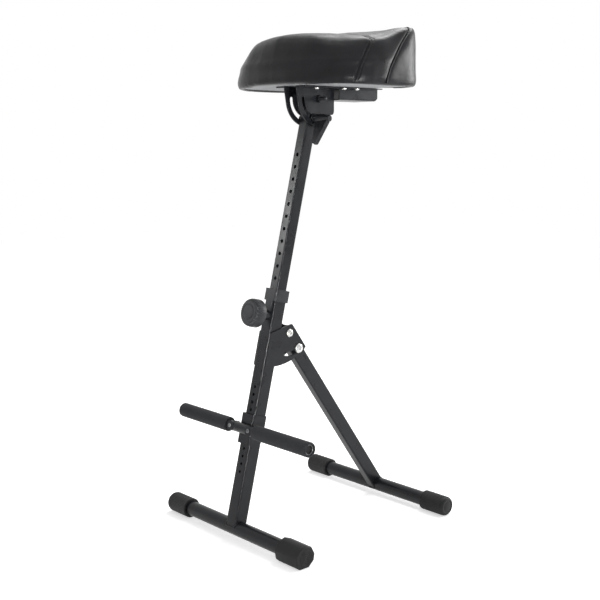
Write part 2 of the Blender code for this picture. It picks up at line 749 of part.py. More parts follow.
def tilt_hardware(post):
    outside = PLATE_INSIDE + PLATE
    seat = outside + GAP
    length = 2 * seat + NUT_DEPTH + STUB_LENGTH
    pivot = (0.0, TILT_HEIGHT)
    clamp = (0.0, TILT_HEIGHT - TILT_DROP)
    piece("tilt_pivot_bolt", bolt_mesh(BOLT_RADIUS, PIVOT_HEAD, HEAD_RISE, length), powder_coat,
          post, (-seat, *pivot), AGAINST_X)
    outlines = [hexagon(NUT_FLATS), circle(BOLT_RADIUS + BOLT_PLAY, 16)]
    piece("tilt_pivot_nut", prism(outlines, NUT_DEPTH), powder_coat, post,
          (seat + NUT_DEPTH / 2, *pivot), ALONG_X, smooth=False)
    half = UPPER_SIZE / 2
    spacers(("pivot_washer_left", "pivot_washer_right"), post, pivot, half, PLATE_INSIDE, SPACER_RADIUS)
    spacers(("clamp_spacer_left", "clamp_spacer_right"), post, clamp, half, PLATE_INSIDE, SPACER_RADIUS)

    washer = ring_mesh(BOLT_RADIUS + BOLT_PLAY, WASHER_RADIUS, WASHER, 24)
    piece("clamp_washer", washer, powder_coat, post, (seat + WASHER / 2, *clamp), ALONG_X)
    hub_start = seat + WASHER + GAP
    length = seat + hub_start + HUB_SOCKET - GAP
    piece("tilt_clamp_bolt", bolt_mesh(BOLT_RADIUS, CLAMP_HEAD, HEAD_RISE, length), powder_coat,
          post, (-seat, *clamp), AGAINST_X)

    lever = frame("lever_axis", (0.0, *clamp), (LEVER_TURN, 0.0, 0.0), post)
    hub = [(0.0, HUB_LENGTH), (HUB_TIP_RADIUS - 0.0015, HUB_LENGTH), (HUB_TIP_RADIUS, HUB_LENGTH - 0.0015),
           (HUB_RADIUS, HUB_LENGTH * 0.4), (HUB_RADIUS, 0.0), (BOLT_RADIUS + BOLT_PLAY, 0.0),
           (BOLT_RADIUS + BOLT_PLAY, HUB_SOCKET), (0.0, HUB_SOCKET)]
    handle = piece("tilt_lever", turned(hub, 32), lever_metal, lever, (hub_start, 0.0, 0.0), ALONG_X)
    below = -BOLT_RADIUS - 0.002
    corners = [(LEVER_ROOT[0], below), (LEVER_ROOT[1], below), (LEVER_TIP[1], -LEVER_LENGTH),
               (LEVER_TIP[0], -LEVER_LENGTH)]
    outline = filleted(list(reversed(corners)), [0.003, 0.003, 0.0, 0.0])
    turn = (math.pi / 2, 0.0, 0.0)
    join(handle, prism([outline], LEVER_THICKNESS), HERE, turn)


def tilt_plates(seat):
    clamp_angle = 270.0 - math.degrees(POST_LEAN)
    end_angle = clamp_angle + 18.0
    arc_start = 186.0
    sweep = arc((0.0, 0.0), PLATE_ARC, arc_start, end_angle, 16)
    rear_drop = -PLATE_REAR_DROP
    bend = FLANGE_LEVEL - PLATE * 0.3
    outline = (sweep
               + filleted([(PLATE_REAR * 0.5, rear_drop), (PLATE_REAR, rear_drop), (PLATE_REAR, bend),
                           (-PLATE_FRONT, bend)], [0.006, 0.008, 0.0, 0.0]))
    slot = arc_slot((0.0, 0.0), TILT_DROP, clamp_angle - math.degrees(TILT_RANGE), clamp_angle,
                    BOLT_RADIUS + BOLT_PLAY)
    hole = circle(BOLT_RADIUS + BOLT_PLAY, 16)
    flange_width = FLANGE_REACH - PLATE_INSIDE - PLATE * 0.2
    flange_length = PLATE_FRONT + PLATE_REAR - 0.002
    for side, name in ((1, "tilt_plate_right"), (-1, "tilt_plate_left")):
        plate = piece(name, prism([outline, hole, slot], PLATE), powder_coat, seat,
                      (side * (PLATE_INSIDE + PLATE / 2), 0.0, 0.0), SIDE_ON, smooth=False)
        middle = (side * (FLANGE_REACH - flange_width / 2), (PLATE_REAR - PLATE_FRONT) / 2,
                  FLANGE_LEVEL - PLATE / 2)
        join(plate, block((flange_width, flange_length, PLATE), middle))
        drill = [(side * FLANGE_SCREW_X, PLATE_SCREW_Y, FLANGE_LEVEL)]
        cut(plate, rods(SCREW_RADIUS + BOLT_PLAY, 4 * PLATE, drill, LEVEL))


def seat_channel(seat):
    top = FLANGE_LEVEL
    wall = CHANNEL_WALL
    half = CHANNEL_HALF
    lip = CHANNEL_SCREW_X + SCREW_HEAD_RADIUS + 0.002
    corners = [(-lip, top), (-lip, top - wall), (-half, top - wall), (-half, CHANNEL_BOTTOM),
               (half, CHANNEL_BOTTOM), (half, top - wall), (lip, top - wall), (lip, top),
               (half - wall, top), (half - wall, CHANNEL_BOTTOM + wall),
               (wall - half, CHANNEL_BOTTOM + wall), (wall - half, top)]
    bend = 0.004
    radii = [0.0, 0.0, 0.001, bend, bend, 0.001, 0.0, 0.0, 0.0, bend - wall, bend - wall, 0.0]
    middle = (0.0, CHANNEL_START + CHANNEL_LENGTH / 2, 0.0)
    channel = piece("seat_channel", prism([filleted(corners, radii)], CHANNEL_LENGTH), powder_coat, seat,
                    middle, FORWARD, smooth=False)
    end = CHANNEL_START + CHANNEL_LENGTH
    size = CHANNEL_CORNER * math.sqrt(2)
    cut(channel, block((4 * half, size, size), HERE), (0.0, end, CHANNEL_BOTTOM), (math.pi / 4, 0.0, 0.0))
    drill = [(side * CHANNEL_SCREW_X, y, top) for side in (-1, 1) for y in CHANNEL_SCREW_Y]
    cut(channel, rods(SCREW_RADIUS + BOLT_PLAY, 4 * wall, drill, LEVEL))


def seat_screws(seat):
    # Pan heads under the two flanges; each shank runs up into the board.
    spots = [(FLANGE_SCREW_X, PLATE_SCREW_Y, PLATE)]
    spots += [(CHANNEL_SCREW_X, y, CHANNEL_WALL) for y in CHANNEL_SCREW_Y]
    number = 0
    places = []
    for side in (-1, 1):
        for x, y, sheet in spots:
            number += 1
            under = FLANGE_LEVEL - sheet - GAP
            head = [(0.0, SCREW_LENGTH), (SCREW_RADIUS, SCREW_LENGTH), (SCREW_RADIUS, 0.0),
                    (SCREW_HEAD_RADIUS, 0.0), (SCREW_HEAD_RADIUS, -SCREW_HEAD * 0.45),
                    (SCREW_HEAD_RADIUS * 0.7, -SCREW_HEAD * 0.9), (0.0, -SCREW_HEAD)]
            piece("seat_screw_%d" % number, turned(head, 12), zinc, seat, (side * x, y, under))
            places.append((side * x, y, FLANGE_LEVEL))
    return places


def seat_edge(inset, between=0):
    # Plan outline of the seat, moved in by inset, with points between on its straight runs.
    half = SEAT_WIDTH / 2 - inset
    front = -SEAT_FRONT + inset
    rear = SEAT_REAR - inset
    rf = SEAT_FRONT_CORNER - inset
    rr = SEAT_REAR_CORNER - inset
    corners = [(half - rf, front + rf, rf, -90.0), (half - rr, rear - rr, rr, 0.0),
               (rr - half, rear - rr, rr, 90.0), (rf - half, front + rf, rf, 180.0)]
    points = []
    for x, y, radius, start in corners:
        points += arc((x, y), radius, start, start + 90.0, 9)
    edge = []
    for i, point in enumerate(points):
        edge.append(point)
        after = points[(i + 1) % len(points)]
        if i % 10 == 9:
            for k in range(1, between + 1):
                t = k / (between + 1)
                edge.append((point[0] + (after[0] - point[0]) * t, point[1] + (after[1] - point[1]) * t))
    return [(x, y - front_bow(x, y)) for x, y in edge]


def front_bow(x, y):
    # The front edge swells forward a little between its corners.
    share = max(0.0, 1 - (x / SEAT_BOW_HALF) ** 2)
    return SEAT_BOW * share * share if y < 0.0 else 0.0


def edge_normals(edge):
    normals = []
    count = len(edge)
    for i in range(count):
        before = edge[i - 1]
        after = edge[(i + 1) % count]
        along = unit(after[0] - before[0], after[1] - before[1])
        normals.append((along[1], -along[0]))
    return normals


def seat_height(x, y):
    # Top of the cushion: crowned across, rising gently to a level lip along the back.
    across = x / (SEAT_WIDTH / 2 - ROUND_SIDE)
    crown = SEAT_TOP + SEAT_SLOPE * y - SEAT_CROWN * across * across
    return crown + (SEAT_LIP - crown) * ease(y, LIP_START, LIP_CREST)


def ease(value, start, end):
    t = min(max((value - start) / (end - start), 0.0), 1.0)
    return t * t * (3 - 2 * t)


def rounding(normal):
    # How far the cushion's side draws in towards its top: most at the two front corners.
    front = max(0.0, -normal[1])
    rear = max(0.0, normal[1])
    corner = 2 * abs(normal[0]) * front
    return (ROUND_SIDE + (ROUND_FRONT - ROUND_SIDE) * front ** 0.6 + ROUND_CORNER * corner
            + (ROUND_REAR - ROUND_SIDE) * rear ** 0.6)


def fullness(normal):
    # How far the side bulges on its way to the top: slack at the front corners, full at the back.
    front = max(0.0, -normal[1])
    rear = max(0.0, normal[1])
    corner = 2 * abs(normal[0]) * front
    return FULL_SIDE + (FULL_CORNER - FULL_SIDE) * corner + (FULL_REAR - FULL_SIDE) * rear ** 0.6


def rim_drop(x, y):
    # The cover's edge hangs below the board at the sides, less at the front and back.
    front = ease(-y, 0.010, 0.095)
    rear = ease(y, 0.040, 0.149)
    return RIM_DROP * ease(abs(x), 0.058, 0.095) * (1 - 0.5 * front) * (1 - 0.5 * rear)


def cushion_rings():
    edge = seat_edge(0.0, 3)
    normals = edge_normals(edge)
    centre = (0.0, (SEAT_REAR - SEAT_FRONT) / 2)
    rings = []
    for inset, height, hang in ((UNDER_TUCK, SEAT_UNDER, 1.0), (UNDER_TUCK * 0.25, SEAT_UNDER + 0.002, 0.9),
                                (0.0, SEAT_WIDEST, 0.0)):
        rings.append([(p[0] - n[0] * inset, p[1] - n[1] * inset, height - hang * rim_drop(*p))
                      for p, n in zip(edge, normals)])
    rim = []
    steps = 7
    for k in range(1, steps + 1):
        turn = math.pi / 2 * k / steps
        ring = []
        for p, n in zip(edge, normals):
            full = rounding(n)
            bend = 2 / fullness(n)
            x1 = p[0] - n[0] * full
            y1 = p[1] - n[1] * full
            draw = full * (1 - abs(math.cos(turn)) ** bend)
            top = seat_height(x1, y1)
            ring.append((p[0] - n[0] * draw, p[1] - n[1] * draw,
                         SEAT_WIDEST + (top - SEAT_WIDEST) * math.sin(turn) ** bend))
        rings.append(ring)
        rim = ring
    for scale in (0.78, 0.55, 0.30):
        ring = []
        for x, y, z in rim:
            u = centre[0] + (x - centre[0]) * scale
            v = centre[1] + (y - centre[1]) * scale
            ring.append((u, v, seat_height(u, v)))
        rings.append(ring)
    return rings, (*centre, SEAT_UNDER), (*centre, seat_height(*centre))


def seat_cushion(seat):
    # Loft through rings of unlike outline, closed by a fan below and above.
    rings, low, high = cushion_rings()
    bm = bmesh.new()
    rows = [[bm.verts.new(co) for co in ring] for ring in rings]
    bottom = bm.verts.new(low)
    top = bm.verts.new(high)
    count = len(rows[0])
    for i in range(count):
        j = (i + 1) % count
        bm.faces.new((bottom, rows[0][j], rows[0][i]))
        bm.faces.new((top, rows[-1][i], rows[-1][j]))
        for a, b in zip(rows, rows[1:]):
            bm.faces.new((a[i], a[j], b[j], b[i]))
    mesh = bpy.data.meshes.new("seat_cushion")
    bm.to_mesh(mesh)
    bm.free()
    cushion = piece("seat_cushion", tidy(mesh), leatherette, seat)
    pocket = prism([seat_edge(BOARD_INSET - GAP)], 2 * (BOARD + GAP))
    cut(cushion, pocket, (0.0, 0.0, SEAT_UNDER))


def seat_board(seat, screws):
    low = SEAT_UNDER
    board = piece("seat_board", prism([seat_edge(BOARD_INSET)], BOARD), plywood, seat,
                  (0.0, 0.0, low + BOARD / 2), smooth=False)
    cut(board, rods(SCREW_RADIUS + BOLT_PLAY, 2 * SCREW_LENGTH, screws, LEVEL))


def footrest(post):
    inside = seated(LOWER_SIZE / 2)
    outside = inside + BRACKET_WALL
    front = BRACKET_FRONT + BRACKET_WALL
    low = REST_HEIGHT - BRACKET_TALL / 2
    high = REST_HEIGHT + BRACKET_TALL / 2
    back = BACK_PIN_BACK + 0.0045
    corners = [(-outside, back), (-outside, -front), (outside, -front), (outside, back), (inside, back),
               (inside, -BRACKET_FRONT), (-inside, -BRACKET_FRONT), (-inside, back)]
    channel = filleted(corners, [0.0, 0.003, 0.003, 0.0, 0.0, 0.0008, 0.0008, 0.0])
    bracket = piece("footrest_bracket", prism([channel], BRACKET_TALL), powder_coat, post,
                    (0.0, 0.0, REST_HEIGHT), smooth=False)
    pin = (BACK_PIN_BACK, BACK_PIN_HEIGHT)
    side = ([(-2 * front, low - 0.001), (LOWER_SIZE * 0.1, low - 0.001), (LOWER_SIZE * 0.42, pin[1] - 0.014)]
            + arc(pin, 0.0042, -40.0, 90.0, 6) + [(LOWER_SIZE * 0.45, pin[1] + 0.009),
                                                  (LOWER_SIZE * 0.45, high + 0.001), (-2 * front, high + 0.001)])
    work(bracket, prism([side], 4 * outside), "INTERSECT", HERE, SIDE_ON)
    axis = (0.0, -REST_FORWARD, REST_HEIGHT)
    cut(bracket, rods(REST_TUBE_RADIUS + GAP, 4 * outside, [axis], ALONG_X, 32))
    cut(bracket, rods(BACK_PIN_RADIUS + BOLT_PLAY, 4 * outside, [(0.0, *pin)], ALONG_X, 16))
    nub_tip = LOWER_SIZE / 2 + GAP + 0.0001
    nub_root = BRACKET_FRONT + BRACKET_WALL / 2
    nub = (0.0, -(nub_tip + nub_root) / 2, FOOT_FIRST + FOOT_PITCH * NUB_HOLE + NUB_LIFT)
    join(bracket, rods(NUB_RADIUS, nub_root - nub_tip, [nub], FORWARD))

    head = outside + GAP
    tip = head + BACK_PIN_HEAD_THICK
    profile = [(0.0, tip), (BACK_PIN_HEAD * 0.7, tip), (BACK_PIN_HEAD, tip - 0.0008), (BACK_PIN_HEAD, head),
               (BACK_PIN_RADIUS, head), (BACK_PIN_RADIUS, -head), (BACK_PIN_HEAD, -head),
               (BACK_PIN_HEAD, 0.0008 - tip), (BACK_PIN_HEAD * 0.7, -tip), (0.0, -tip)]
    piece("footrest_back_pin", turned(profile, 12), zinc, post, (0.0, *pin), ALONG_X)
    footrest_pegs(post, axis)


def footrest_pegs(post, axis):
    # Cross tube with a forked knuckle at each end, in which a peg folds up.
    spots = [(side * PEG_PIVOT, axis[1], axis[2]) for side in (-1, 1)]
    tube = piece("footrest_tube", prism([circle(REST_TUBE_RADIUS, 32)], 2 * PEG_PIVOT), powder_coat, post,
                 axis, ALONG_X)
    join(tube, rods(KNUCKLE_RADIUS, 2 * KNUCKLE_HALF, spots, FORWARD, 32))
    wide = PEG_TONGUE + 2 * SLIDE_PLAY
    floor = PEG_TONGUE_HALF + GAP
    back = PEG_TONGUE_HALF + 2 * SLIDE_PLAY
    reach = 2 * KNUCKLE_RADIUS
    for side, spot in zip((-1, 1), spots):
        centre = (spot[0] + side * (reach - back) / 2, spot[1], spot[2] + (reach - floor) / 2)
        cut(tube, block((reach + back, wide, reach + floor), centre))
    cut(tube, rods(REST_TUBE_RADIUS - REST_TUBE_WALL, 4 * PEG_PIVOT, [axis], ALONG_X, 24))
    screw_hole = REST_SCREW_RADIUS + BOLT_PLAY
    cut(tube, rods(screw_hole, 4 * KNUCKLE_HALF, spots, FORWARD))

    start = KNUCKLE_RADIUS + PEG_CLEAR
    flange_end = REST_HALF - REST_PLUG_SET - PEG_PIVOT
    tube_end = flange_end - PLUG_FLANGE - GAP
    length = tube_end - start
    inner = REST_TUBE_RADIUS - PEG_WALL
    profile = [(0.0, PEG_SOLID), (inner, PEG_SOLID), (inner, length), (REST_TUBE_RADIUS, length),
               (REST_TUBE_RADIUS, 0.0), (0.0, 0.0)]
    root = start + PEG_SOLID / 2
    tongue = arc((0.0, 0.0), PEG_TONGUE_HALF, 90.0, 270.0, 10) + [(root, -PEG_TONGUE_HALF), (root, PEG_TONGUE_HALF)]
    bore = REST_TUBE_RADIUS + GAP
    sleeve_start = start + SLEEVE_SET
    along = REST_HALF - PEG_PIVOT - sleeve_start
    r = SLEEVE_RADIUS
    soft = SLEEVE_ROUND
    sleeve = [(bore, along), (r - soft, along), (r, along - soft), (r, soft), (r - soft, 0.0), (bore, 0.0)]
    plug = [(0.0, PLUG_FLANGE), (REST_TUBE_RADIUS * 0.7, PLUG_FLANGE * 0.9), (REST_TUBE_RADIUS, PLUG_FLANGE * 0.5),
            (REST_TUBE_RADIUS, 0.0), (inner - GAP, 0.0), (inner - GAP, -PLUG_SPIGOT), (0.0, -PLUG_SPIGOT)]
    shank = 2 * KNUCKLE_HALF - 0.001
    screw = [(0.0, REST_SCREW_RISE), (REST_SCREW_HEAD * 0.7, REST_SCREW_RISE * 0.85),
             (REST_SCREW_HEAD, REST_SCREW_RISE * 0.35), (REST_SCREW_HEAD, 0.0), (REST_SCREW_RADIUS, 0.0),
             (REST_SCREW_RADIUS, -shank), (0.0, -shank)]
    for side, name, turn, spot in ((-1, "left", AGAINST_X, spots[0]), (1, "right", ALONG_X, spots[1])):
        pivot = frame("peg_axis_" + name, spot, LEVEL, post)
        peg = piece("footrest_peg_" + name, turned(profile, 24), powder_coat, pivot, (side * start, 0.0, 0.0), turn)
        join(peg, prism([[(side * u, v) for u, v in tongue]], PEG_TONGUE), HERE, FORWARD)
        cut(peg, rods(screw_hole, 2 * PEG_TONGUE, [HERE], FORWARD))
        piece("footrest_sleeve_" + name, turned(sleeve, 28, ring=True), foam_rubber, pivot,
              (side * sleeve_start, 0.0, 0.0), turn)
        piece("footrest_plug_" + name, turned(plug, 20), cap_rubber, pivot, (side * (tube_end + GAP), 0.0, 0.0), turn)
        head = (spot[0], spot[1] - KNUCKLE_HALF - GAP, spot[2])
        piece("footrest_screw_" + name, turned(screw, 12), zinc, post, head, FORWARD)


def build():
    half = BAR_LENGTH / 2
    base = frame("front_bar_axis", (0.0, -stance_centre(), BAR_HEIGHT))
    post = frame("post_axis", HERE, (-POST_LEAN, 0.0, 0.0), base)
    fold = leg_slope() + POST_LEAN
    leg = frame("leg_axis", (0.0, *hinge_point()), (leg_slope(), 0.0, 0.0), base)
    rear = frame("rear_bar_axis", (0.0, STANCE, 0.0), LEVEL, base)
    tilt = (0.0, TILT_HEIGHT * math.sin(POST_LEAN), TILT_HEIGHT * math.cos(POST_LEAN))
    seat = frame("seat_axis", tilt, LEVEL, base)

    foot_bar("front_foot_bar", base, HERE)
    foot_cap("front_foot_cap_left", base, (-half, 0.0, 0.0), AGAINST_X, -1)
    levelling_cap(base, half)
    lower_post(post)
    post_collar(post)
    height_lock(post)

    hinge_cheeks(post, fold)
    cheek_in = seated(LOWER_SIZE / 2)
    cheek_out = cheek_in + CHEEK
    hinge = (HINGE_BACK, HINGE_HEIGHT)
    cross_bolt("hinge_pivot_bolt", "hinge_pivot_nut", post, hinge, PIVOT_HEAD, cheek_out)
    spacers(("hinge_spacer_left", "hinge_spacer_right"), post, hinge, LEG_WIDTH / 2, cheek_in, SPACER_RADIUS)
    rear_leg(leg)
    guide = (0.0, -GUIDE_RADIUS)
    cross_bolt("guide_bolt", "guide_nut", leg, guide, GUIDE_HEAD, cheek_out)
    spacers(("guide_spacer_left", "guide_spacer_right"), leg, guide, LEG_WIDTH / 2, cheek_in, SPACER_RADIUS)
    foot_cap("rear_foot_cap_left", rear, (-half, 0.0, 0.0), AGAINST_X, -1)
    foot_cap("rear_foot_cap_right", rear, (half, 0.0, 0.0), ALONG_X, 1)

    upper_post(post)
    tilt_hardware(post)
    tilt_plates(seat)
    seat_channel(seat)
    screws = seat_screws(seat)
    seat_board(seat, screws)
    seat_cushion(seat)
    footrest(post)


for leftover in list(bpy.data.objects):
    bpy.data.objects.remove(leftover)
parts = collection("sit_stand_stool")
tools = collection("cutting_tools")

powder_coat = finish("black powder coat", (0.012, 0.012, 0.013), 0.45, 0.0)
cap_rubber = finish("black rubber", (0.010, 0.010, 0.010), 0.75, 0.0)
foam_rubber = finish("black foam rubber", (0.016, 0.016, 0.016), 0.85, 0.0)
knob_plastic = finish("black moulded nylon", (0.014, 0.014, 0.015), 0.5, 0.0)
nylon = finish("black guide nylon", (0.015, 0.015, 0.016), 0.55, 0.0)
lever_metal = finish("black die-cast zinc", (0.018, 0.018, 0.019), 0.5, 0.0)
zinc = finish("bright zinc plate", (0.72, 0.72, 0.73), 0.25, 1.0)
plywood = finish("grey painted plywood", (0.35, 0.35, 0.36), 0.7, 0.0)
leatherette = finish("black leatherette", (0.013, 0.013, 0.014), 0.45, 0.0)

build()
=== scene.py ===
# Folding sit-stand stool: leaning square post on foot bars, telescoping seat tube,
# padded tilting seat, footrest with folding pegs. Metres, z up, the sitter faces -y.

import bisect
import json
import math

import bmesh
import bpy
from mathutils import Matrix, Vector, noise


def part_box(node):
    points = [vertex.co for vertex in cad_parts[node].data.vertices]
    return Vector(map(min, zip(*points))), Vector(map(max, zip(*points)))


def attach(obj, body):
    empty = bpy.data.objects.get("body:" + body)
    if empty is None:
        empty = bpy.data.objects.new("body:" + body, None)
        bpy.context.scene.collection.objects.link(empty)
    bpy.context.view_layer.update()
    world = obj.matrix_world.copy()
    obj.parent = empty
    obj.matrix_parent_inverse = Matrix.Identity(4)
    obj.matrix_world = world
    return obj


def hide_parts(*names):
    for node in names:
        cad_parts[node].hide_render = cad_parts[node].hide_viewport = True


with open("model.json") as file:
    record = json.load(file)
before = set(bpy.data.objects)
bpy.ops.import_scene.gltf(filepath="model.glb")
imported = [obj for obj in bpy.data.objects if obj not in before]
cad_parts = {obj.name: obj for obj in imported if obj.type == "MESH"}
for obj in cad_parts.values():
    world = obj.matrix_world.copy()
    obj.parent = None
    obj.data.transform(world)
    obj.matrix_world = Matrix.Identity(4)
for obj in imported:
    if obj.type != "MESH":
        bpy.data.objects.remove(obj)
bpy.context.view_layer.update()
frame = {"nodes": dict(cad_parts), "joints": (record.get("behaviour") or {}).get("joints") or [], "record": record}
nodes = frame["nodes"]
bodyOf = {node: body for body, members in frame["record"]["behaviour"]["bodies"].items() for node in members}
slotOf = {part["node"]: part["material_slot"] for part in frame["record"]["subparts"]}
jointOf = {joint["name"]: joint for joint in frame["joints"]}
print("frame loaded,", len(nodes), "nodes")


# small helpers

def tipped(spot, angle):
    # a place at this spot, tipped about x
    return Matrix.Translation(spot) @ Matrix.Rotation(angle, 4, "X")


def towardsX(side):
    # turns a local z axis to +x or -x
    return Matrix.Rotation(side * math.pi / 2, 4, "Y")


def clamped(value):
    return min(1.0, max(0.0, value))


def hexColour(code):
    channels = [int(code[i:i + 2], 16) / 255 for i in (1, 3, 5)]
    linear = [c / 12.92 if c <= 0.04045 else ((c + 0.055) / 1.055) ** 2.4 for c in channels]
    return (*linear, 1.0)


def addNode(tree, kind, values=None, links=None, stops=(), **settings):
    node = tree.nodes.new(kind)
    for key, value in settings.items():
        setattr(node, key, value)
    for key, value in (values or {}).items():
        node.inputs[key].default_value = value
    for key, socket in (links or {}).items():
        tree.links.new(socket, node.inputs[key])
    for k, (position, code) in enumerate(stops):        # the two ends of a colour ramp
        node.color_ramp.elements[k].position = position
        node.color_ramp.elements[k].color = hexColour(code)
    return node


def baked(piece):
    depsgraph = bpy.context.evaluated_depsgraph_get()
    mesh = bpy.data.meshes.new_from_object(piece.evaluated_get(depsgraph))
    old = piece.data
    piece.modifiers.clear()
    piece.data = mesh
    bpy.data.meshes.remove(old)
    mesh.name = piece.name
    return piece


def newPiece(name, mesh, material, body, replaced=(), slot=None, smooth=40):
    mesh.name = name
    piece = bpy.data.objects.new(name, mesh)
    bpy.context.scene.collection.objects.link(piece)
    mesh.materials.clear()
    mesh.materials.append(material)
    mesh.shade_smooth()
    mesh.set_sharp_from_angle(angle=math.radians(smooth))
    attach(piece, body)
    if replaced:
        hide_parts(*replaced)
    slot = slot or (slotOf[replaced[0]] if replaced else None)
    return piece


def meshOf(bm, name="mesh"):
    bmesh.ops.recalc_face_normals(bm, faces=bm.faces)
    mesh = bpy.data.meshes.new(name)
    bm.to_mesh(mesh)
    bm.free()
    return mesh


def loft(bm, rings):
    # rings of points joined in order; a ring of one point closes an end to a fan
    rows = [[bm.verts.new(point) for point in ring] for ring in rings]
    for a, b in zip(rows, rows[1:]):
        count = max(len(a), len(b))
        for i in range(count):
            k = (i + 1) % count
            if len(a) == 1:
                bm.faces.new((a[0], b[k], b[i]))
            elif len(b) == 1:
                bm.faces.new((a[i], a[k], b[0]))
            else:
                bm.faces.new((a[i], a[k], b[k], b[i]))


def lofted(rings, ring=False):
    # one skin over the rings; ring joins the last to the first
    bm = bmesh.new()
    loft(bm, rings + rings[:1] if ring else rings)
    bmesh.ops.remove_doubles(bm, verts=bm.verts, dist=0.000001)
    return meshOf(bm)


def turnedRings(profile, steps, place, radiusAt=None):
    # profile is (distance along the axis, radius); radiusAt changes the radius round the turn
    rings = []
    for along, radius in profile:
        if radius == 0.0:
            rings.append([place @ Vector((0.0, 0.0, along))])
            continue
        ring = []
        for i in range(steps):
            angle = 2 * math.pi * i / steps
            r = radiusAt(angle, along, radius) if radiusAt else radius
            ring.append(place @ Vector((r * math.cos(angle), r * math.sin(angle), along)))
        rings.append(ring)
    return rings


def turned(profile, steps, place, radiusAt=None, ring=False):
    return lofted(turnedRings(profile, steps, place, radiusAt), ring)


def tubeRings(points, radiusAt, steps, closed=False):
    # a tube swept along points with a frame that doesn't twist
    turns = [2 * math.pi * k / steps for k in range(steps)]
    count = len(points)
    rings = []
    side = None
    for i, point in enumerate(points):
        before = points[i - 1] if closed or i else point
        after = points[(i + 1) % count] if closed or i < count - 1 else point
        ahead = (after - before).normalized()
        if side is None:
            side = ahead.orthogonal().normalized()
        side = (side - ahead * side.dot(ahead)).normalized()
        up = ahead.cross(side)
        r = radiusAt(i)
        rings.append([point + (side * math.cos(turn) + up * math.sin(turn)) * r for turn in turns])
    return rings


def evenly(points, spacing, closed=False):
    # points at an even distance along a polyline
    line = points + [points[0]] if closed else points
    lengths = [(b - a).length for a, b in zip(line, line[1:])]
    total = sum(lengths)
    count = max(4, round(total / spacing))
    result = []
    i = 0
    passed = 0.0
    for k in range(count if closed else count + 1):
        target = total * k / count
        while i < len(lengths) - 1 and passed + lengths[i] < target:
            passed += lengths[i]
            i += 1
        share = (target - passed) / lengths[i] if lengths[i] else 0.0
        result.append(line[i].lerp(line[i + 1], min(1.0, share)))
    return result


# the stool's own axes: up the post from the front bar, down the leg from its hinge
postLean = math.radians(-13.7)
barAxis = Vector((0.0, *jointOf["leveller_turn"]["pos_m"][1:]))
postFrame = tipped(barAxis, postLean)
hingeAxis = Vector(jointOf["rear_leg_fold"]["pos_m"])
rearBar = (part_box("rear_foot_bar")[0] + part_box("rear_foot_bar")[1]) / 2
legReach = (rearBar - hingeAxis).length
legLean = math.atan2(rearBar.y - hingeAxis.y, hingeAxis.z - rearBar.z)
legFrame = tipped(hingeAxis, legLean)
forward = Matrix.Rotation(math.pi / 2, 4, "X")      # turns a local z axis to -y


# materials: a texture's scale is 1000 over its grain in millimetres, a bump's distance is in metres

toneSpan = (0.3, 0.7)           # where along a texture the two colours are reached
glossSpan = (0.25, 0.75)        # and the two roughness values


def startMaterial(name):
    material = bpy.data.materials.new(name)
    material.use_nodes = True
    return material, material.node_tree, material.node_tree.nodes["Principled BSDF"]


def finishSurface(tree, shader, look, tone, gloss, relief):
    # colour and roughness run between the look's two values, each along a texture
    colour = addNode(tree, "ShaderNodeValToRGB", None, {"Fac": tone.outputs["Fac"]},
                     stops=zip(toneSpan, (look["dark"], look["pale"])))
    low, high = look["roughness"]
    span = {"From Min": glossSpan[0], "From Max": glossSpan[1], "To Min": low, "To Max": high}
    matt = addNode(tree, "ShaderNodeMapRange", span, {"Value": gloss.outputs["Fac"]})
    tree.links.new(colour.outputs["Color"], shader.inputs["Base Color"])
    tree.links.new(matt.outputs["Result"], shader.inputs["Roughness"])
    tree.links.new(relief.outputs["Normal"], shader.inputs["Normal"])
    shader.inputs["Specular IOR Level"].default_value = look["shine"]


# steel tube with a baked polyester powder coat: satin black, faint orange peel, a little grit
coat = {
    "dark": "#16171a", "pale": "#1e1f22", "roughness": (0.25, 0.34), "shine": 0.22,
    "cloud": {"Scale": 1000 / 35, "Detail": 3.0},
    "peel": {"Scale": 1000 / 2.4, "Detail": 1.0}, "peelBump": {"Strength": 0.5, "Distance": 0.00004},
    "grit": {"Scale": 1000 / 0.9, "Detail": 2.0}, "gritBump": {"Strength": 0.35, "Distance": 0.00002},
}


def powderCoatedSteel():
    material, tree, shader = startMaterial("powder coated steel satin black")
    place = {"Vector": addNode(tree, "ShaderNodeTexCoord").outputs["Object"]}
    cloud = addNode(tree, "ShaderNodeTexNoise", coat["cloud"], place)
    peel = addNode(tree, "ShaderNodeTexNoise", coat["peel"], place)
    grit = addNode(tree, "ShaderNodeTexNoise", coat["grit"], place)
    waves = addNode(tree, "ShaderNodeBump", coat["peelBump"], {"Height": peel.outputs["Fac"]})
    grain = addNode(tree, "ShaderNodeBump", coat["gritBump"],
                    {"Height": grit.outputs["Fac"], "Normal": waves.outputs["Normal"]})
    finishSurface(tree, shader, coat, cloud, cloud, grain)
    return material


# bright zinc electroplate, clear passivated: mirror-like with a faint blue to straw cast and fine drum marks
plate = {
    "dark": "#b9bcc0", "pale": "#d6d4ce", "roughness": (0.16, 0.30), "shine": 0.5, "metallic": 1.0,
    "cloud": {"Scale": 1000 / 6.0, "Detail": 2.0}, "roughFrom": "grain",
    "grain": {"Scale": 1000 / 1.1, "Detail": 3.0}, "bump": {"Strength": 0.3, "Distance": 0.00003},
}
# the same plate, darker and rougher, on the footrest
dullPlate = {**plate, "dark": "#6c6e72", "pale": "#8b8b8a", "roughness": (0.30, 0.45)}
